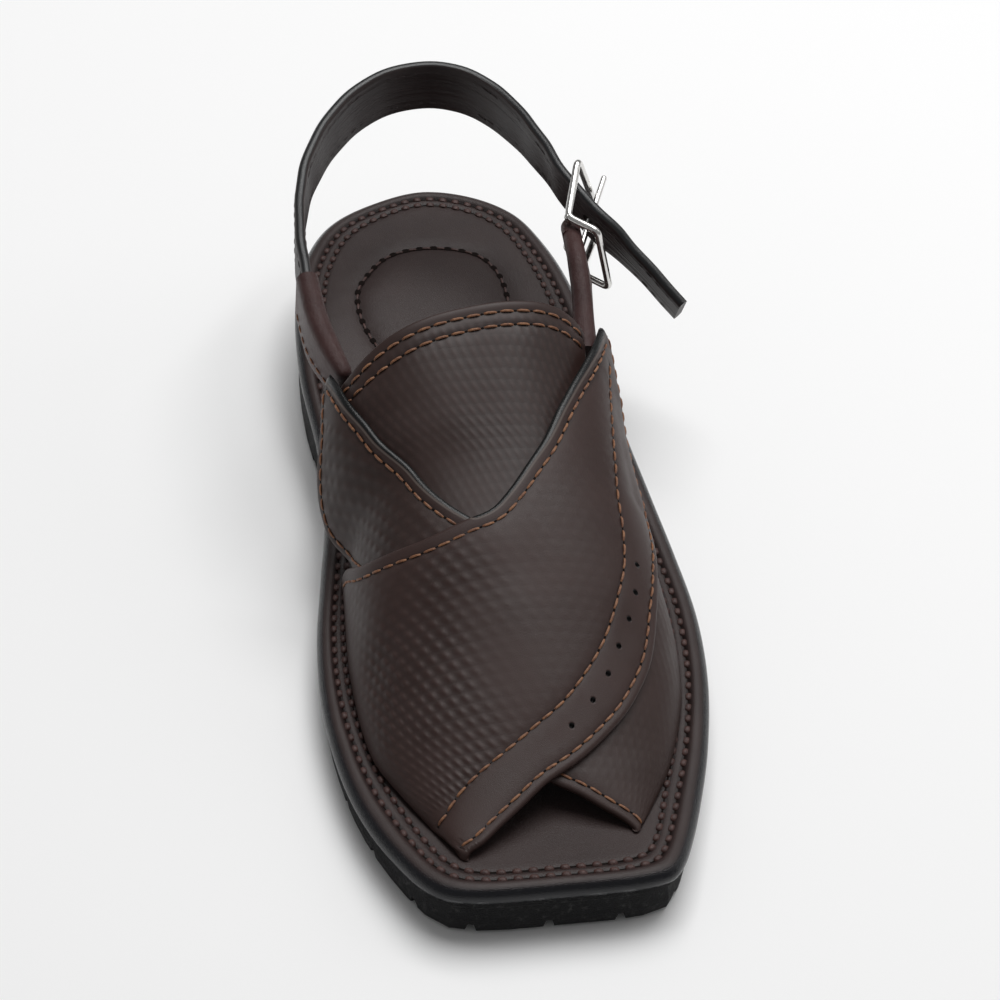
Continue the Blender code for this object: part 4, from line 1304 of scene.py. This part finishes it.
def make_strap_leather():
    """Black lining with long creases, brown outer face and painted edges, by place on the band."""
    made, tree, shader, where = base_material("strap_leather")
    skin = place_group(tree, skin_group, where, Grain_Scale=2100.0)
    tone = spread(tree, skin.outputs["Tone"], 0.3, 0.7)
    lining = mix_colour(tree, tone, *STRAP_LINING)
    brown = mix_colour(tree, tone, *STRAP_BROWN)
    face = mix_colour(tree, spread(tree, read_value(tree, "outer"), 0.2, 0.8), lining, brown)
    paint = spread(tree, read_value(tree, "edge"), 0.45, 0.8)
    colour = mix_colour(tree, paint, face, STRAP_PAINT)
    tree.links.new(colour, shader.inputs["Base Color"])
    rough = spread(tree, paint, 0.0, 1.0, 0.5, 0.32)
    tree.links.new(rough, shader.inputs["Roughness"])
    uv = tree.nodes.new("ShaderNodeUVMap")
    uv.uv_map = "flat"
    stretch = tree.nodes.new("ShaderNodeMapping")
    stretch.inputs["Scale"].default_value = (9.0, 520.0, 1.0)
    tree.links.new(uv.outputs["UV"], stretch.inputs["Vector"])
    creases = spread(tree, noise_node(tree, stretch.outputs["Vector"], 1.0, detail=2.0), 0.35, 0.65)
    grain = math_node(tree, "MULTIPLY", skin.outputs["Height"], 0.15)
    bump(tree, shader, math_node(tree, "ADD", creases, grain), 0.00017)
    return made


def build_strap():
    """The strap's band, with its sewn rows sunk in both faces."""
    table = [(*placed(*row[:3]), *row[3:]) for row in STRAP]
    table += [(*by_bar(row[:3]), *row[3:]) for row in STRAP_PAST_BAR]
    table = through(table)
    tops = [Vector(row[:3]) for row in table]
    rows = evenly(table, round(run_length(tops)[-1] / STRAP_STEP))
    centres = []
    widths = []
    for row in rows:
        across = Vector(row[3:6]).normalized()
        widths.append(across)
        centres.append(Vector(row[:3]) + across * STRAP_WIDTH / 2)
    along = headings(centres)
    rings = []
    places = []
    outers = []
    edges = []
    travelled = run_length(centres)
    for k, centre in enumerate(centres):
        wave = 0.00018 * math.sin(travelled[k] * 310) * math.sin(travelled[k] * 83)
        across = (widths[k] - along[k] * widths[k].dot(along[k])).normalized()
        out = along[k].cross(across).normalized()
        ring = band_ring(centre + out * wave, along[k], across, STRAP_THICK, STRAP_WIDTH,
                         corners=0.42, steps=3)
        for spot in ring:
            a = (spot - centre - out * wave).dot(out) / (STRAP_THICK / 2)
            b = (spot - centre).dot(across) / (STRAP_WIDTH / 2)
            places.append((travelled[k], (spot - centre).dot(across)))
            outers.append(0.5 - 0.5 * a)
            edges.append(max(0.0, (abs(b) - 0.90) / 0.10))
        rings.append(ring)
    points, faces = skin_over(rings)
    made = add_piece("strap_band", points, faces, [make_strap_leather()], "strap_leather")
    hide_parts("heel_strap")
    keep_places(made, places)
    keep_values(made, "outer", outers)
    keep_values(made, "edge", edges)
    thread = ([], [])
    holes = ([], [])
    for side in (-1, 1):
        for offset in (-0.33, 0.33):
            line = []
            normals = []
            for centre, heading, across in list(zip(centres, along, widths))[6:-2]:
                across = (across - heading * across.dot(heading)).normalized()
                out = heading.cross(across).normalized() * side
                line.append(centre + out * (STRAP_THICK / 2 - 0.00022) + across * STRAP_WIDTH * offset)
                normals.append(out)
            seam(line, normals, STRAP_PITCH, thread, holes, wide=0.0006, high=0.00012, hole=0.0004)
    look = make_thread("strap_thread", *STRAP_THREAD)
    add_sewing("strap_seams", "strap_needle_holes", thread, holes, look, "strap_leather")


build_strap()

# The buckle: bright nickel-plated steel wire. The frame is bent at its centre bar, which
# the leather loop holds, and the prong hooks on the bar and passes through the strap's hole.
BACK_TOP = (0.240, 0.760, 0.320)
BACK_FOOT = (0.400, 0.770, 0.220)
FRONT_HALF = (0.322, -0.335, 0.000)
PRONG_TIP = (0.640, 0.940, -0.120)
CORNER_RADIUS = 0.0022
PRONG_WIRE = 0.0009
GAP = 0.0003
HOOK_DEGREES = 290
HOOK_STEPS = 24
MOUTH_SIDES = 16
MOUTH_ROOM = 0.0004
NICKEL = ((0.66, 0.65, 0.63), (0.80, 0.79, 0.77))


def make_nickel():
    """Bright plated wire, faintly uneven."""
    made, tree, shader, where = base_material("bright_nickel")
    tone = noise_node(tree, where, 160.0, detail=3.0)
    colour = mix_colour(tree, tone, *NICKEL)
    tree.links.new(colour, shader.inputs["Base Color"])
    shader.inputs["Metallic"].default_value = 1.0
    rough = spread(tree, tone, 0.3, 0.7, 0.12, 0.24)
    tree.links.new(rough, shader.inputs["Roughness"])
    bump(tree, shader, noise_node(tree, where, 900.0, detail=2.0), 0.00004)
    return made


nickel = make_nickel()


def wire_skin(path, radius, closed=False, sides=14):
    """Points and faces of a round wire along a path, its ends domed if it isn't closed."""
    directions = []
    count = len(path)
    for k in range(count):
        before = path[k - 1] if closed or k else path[0]
        after = path[(k + 1) % count] if closed or k < count - 1 else path[-1]
        directions.append((after - before).normalized())
    side = directions[0].orthogonal().normalized()
    stations = []
    for k in range(count):
        side = (side - directions[k] * side.dot(directions[k])).normalized()
        stations.append((path[k], directions[k], side, radius))
    if not closed:
        domes = []
        for sign, (spot, direction, side, _) in ((-1, stations[0]), (1, stations[-1])):
            dome = []
            for share in (0.92, 0.7, 0.38):
                narrowed = radius * math.sqrt(1 - share ** 2)
                dome.append((spot + direction * sign * radius * share, direction, side, narrowed))
            domes.append(dome)
        stations = domes[0] + stations + domes[1][::-1]
    rings = []
    for spot, direction, side, wide in stations:
        other = direction.cross(side)
        ring = []
        for turn in range(sides):
            angle = math.tau * turn / sides
            ring.append(spot + (side * math.cos(angle) + other * math.sin(angle)) * wide)
        rings.append(ring)
    if not closed:
        return skin_over(rings)
    first, last = rings[0], rings[-1]
    best = min(range(sides), key=lambda k: (last[k] - first[0]).length)
    rings.append([first[(k - best) % sides] for k in range(sides)])
    return skin_over(rings, close=False)


def rounded(corners, radius, steps=6):
    """Closed path with its corners rounded, and points along its straights."""
    made = []
    count = len(corners)
    for k, corner in enumerate(corners):
        into = (corners[k - 1] - corner).normalized()
        onward = (corners[(k + 1) % count] - corner).normalized()
        start = corner + into * radius
        end = corner + onward * radius
        for step in range(steps + 1):
            t = step / steps
            made.append(start * (1 - t) ** 2 + corner * 2 * t * (1 - t) + end * t ** 2)
    return made


def build_buckle():
    """Wire frame with its centre bar, the prong, and discs of painted shade at the mouths of the strap's
    hole.
    """
    top = by_bar((0, 0, 0))
    down = BAR_DIRECTION * BAR_LENGTH
    foot = top + down
    front = by_bar(FRONT_HALF)
    corners = [by_bar(BACK_TOP), by_bar(BACK_FOOT) + down, foot, front + down, front, top]
    whole = wire_skin(rounded(corners, CORNER_RADIUS), WIRE, closed=True)
    join(whole, wire_skin([top.lerp(foot, k / 6) for k in range(7)], WIRE * 0.97))
    made = add_piece("buckle_wire", *whole, [nickel], "buckle_nickel")
    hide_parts("buckle_frame")
    pivot = top.lerp(foot, 0.5)
    reach = WIRE + GAP + PRONG_WIRE
    tip = by_bar(PRONG_TIP)
    toward = tip - pivot
    toward = (toward - BAR_DIRECTION * toward.dot(BAR_DIRECTION)).normalized()
    outward = BAR_DIRECTION.cross(toward)
    if outward.x < 0:
        outward = -outward
    path = []
    for k in range(HOOK_STEPS + 1):
        turn = math.radians(HOOK_DEGREES - HOOK_DEGREES * k / HOOK_STEPS)
        path.append(pivot + (outward * math.cos(turn) - toward * math.sin(turn)) * reach)
    for share in (0.25, 0.5, 0.75, 1.0):
        path.append(path[HOOK_STEPS].lerp(tip, share))
    made = add_piece("prong_wire", *wire_skin(path, PRONG_WIRE), [nickel], "prong_nickel")
    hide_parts("buckle_prong")
    band = bpy.data.objects["strap_band"]
    bpy.context.view_layer.update()
    mouths = ([], [])
    for start, end in ((pivot, tip), (tip, pivot)):
        met, place, normal, _ = band.ray_cast(start, (end - start).normalized())
        if met:
            side = normal.orthogonal().normalized()
            other = normal.cross(side)
            mouth = []
            for turn in range(MOUTH_SIDES):
                angle = math.tau * turn / MOUTH_SIDES
                edge = side * math.cos(angle) + other * math.sin(angle)
                mouth.append(place + normal * 0.00006 + edge * (PRONG_WIRE + MOUTH_ROOM))
            join(mouths, (mouth, [range(MOUTH_SIDES)]))
    # Painted shade: near-black discs round the prong where it passes through the strap.
    add_piece("prong_hole_mouths", *mouths, [hole_shade_look], "strap_leather")


build_buckle()

# The stage: a plain pale floor, soft studio light from a large panel overhead and a small
# one on the right, and the photo's camera, turned to the one shoe.
CAMERA = Vector((-0.1082, -0.6957, 0.5705))
PHOTO_RIGHT = Vector((0.9947, -0.1033, 0.0))
PHOTO_UP = Vector((0.0686, 0.6604, 0.7478))
TURN_RIGHT = 0.064
TURN_UP = -0.0088
LENS = 103.5
SENSOR = 36.0
FLOOR_HALF = 6
FLOOR_PALE = ((0.91, 0.91, 0.91), (0.93, 0.93, 0.93))
WORLD_LIGHT = 0.24
LIT_SPOT = Vector((0, -0.1, 0.03))


def add_panel(name, place, size, power):
    """Soft square light that faces the shoe."""
    lamp = bpy.data.lights.new(name, "AREA")
    lamp.size = size
    lamp.energy = power
    made = bpy.data.objects.new(name, lamp)
    made.location = place
    made.rotation_euler = (LIT_SPOT - Vector(place)).to_track_quat("-Z", "Y").to_euler()
    bpy.context.scene.collection.objects.link(made)


def build_stage():
    """Floor, world, lights and camera."""
    scene = bpy.context.scene
    mesh = bpy.data.meshes.new("floor")
    corners = [(FLOOR_HALF * x, FLOOR_HALF * y, 0) for x, y in ((-1, -1), (1, -1), (1, 1), (-1, 1))]
    mesh.from_pydata(corners, [], [(0, 1, 2, 3)])
    floor = bpy.data.objects.new("floor", mesh)
    scene.collection.objects.link(floor)
    look, tree, shader, where = base_material("pale_floor")
    tone = noise_node(tree, where, 3.0)
    tree.links.new(mix_colour(tree, tone, *FLOOR_PALE), shader.inputs["Base Color"])
    shader.inputs["Roughness"].default_value = 0.7
    mesh.materials.append(look)
    world = bpy.data.worlds.new("studio")
    world.use_nodes = True
    sky = world.node_tree.nodes["Background"]
    sky.inputs["Color"].default_value = (1.0, 1.0, 1.0, 1.0)
    sky.inputs["Strength"].default_value = WORLD_LIGHT
    scene.world = world
    scene.view_settings.view_transform = "Standard"
    add_panel("top_panel", (0.30, 0.42, 1.7), 1.3, 28.5)
    add_panel("right_panel", (1.3, 0.1, 0.9), 0.8, 1.8)
    lens = bpy.data.cameras.new("photo_camera")
    lens.lens = LENS
    lens.sensor_width = SENSOR
    camera = bpy.data.objects.new("photo_camera", lens)
    ahead = PHOTO_UP.cross(PHOTO_RIGHT)
    ahead = (ahead + PHOTO_RIGHT * TURN_RIGHT + PHOTO_UP * TURN_UP).normalized()
    up = PHOTO_RIGHT.cross(ahead).normalized()
    right = ahead.cross(up)
    turned = Matrix((right, up, -ahead)).transposed().to_4x4()
    camera.matrix_world = Matrix.Translation(CAMERA) @ turned
    scene.collection.objects.link(camera)
    scene.camera = camera


build_stage()
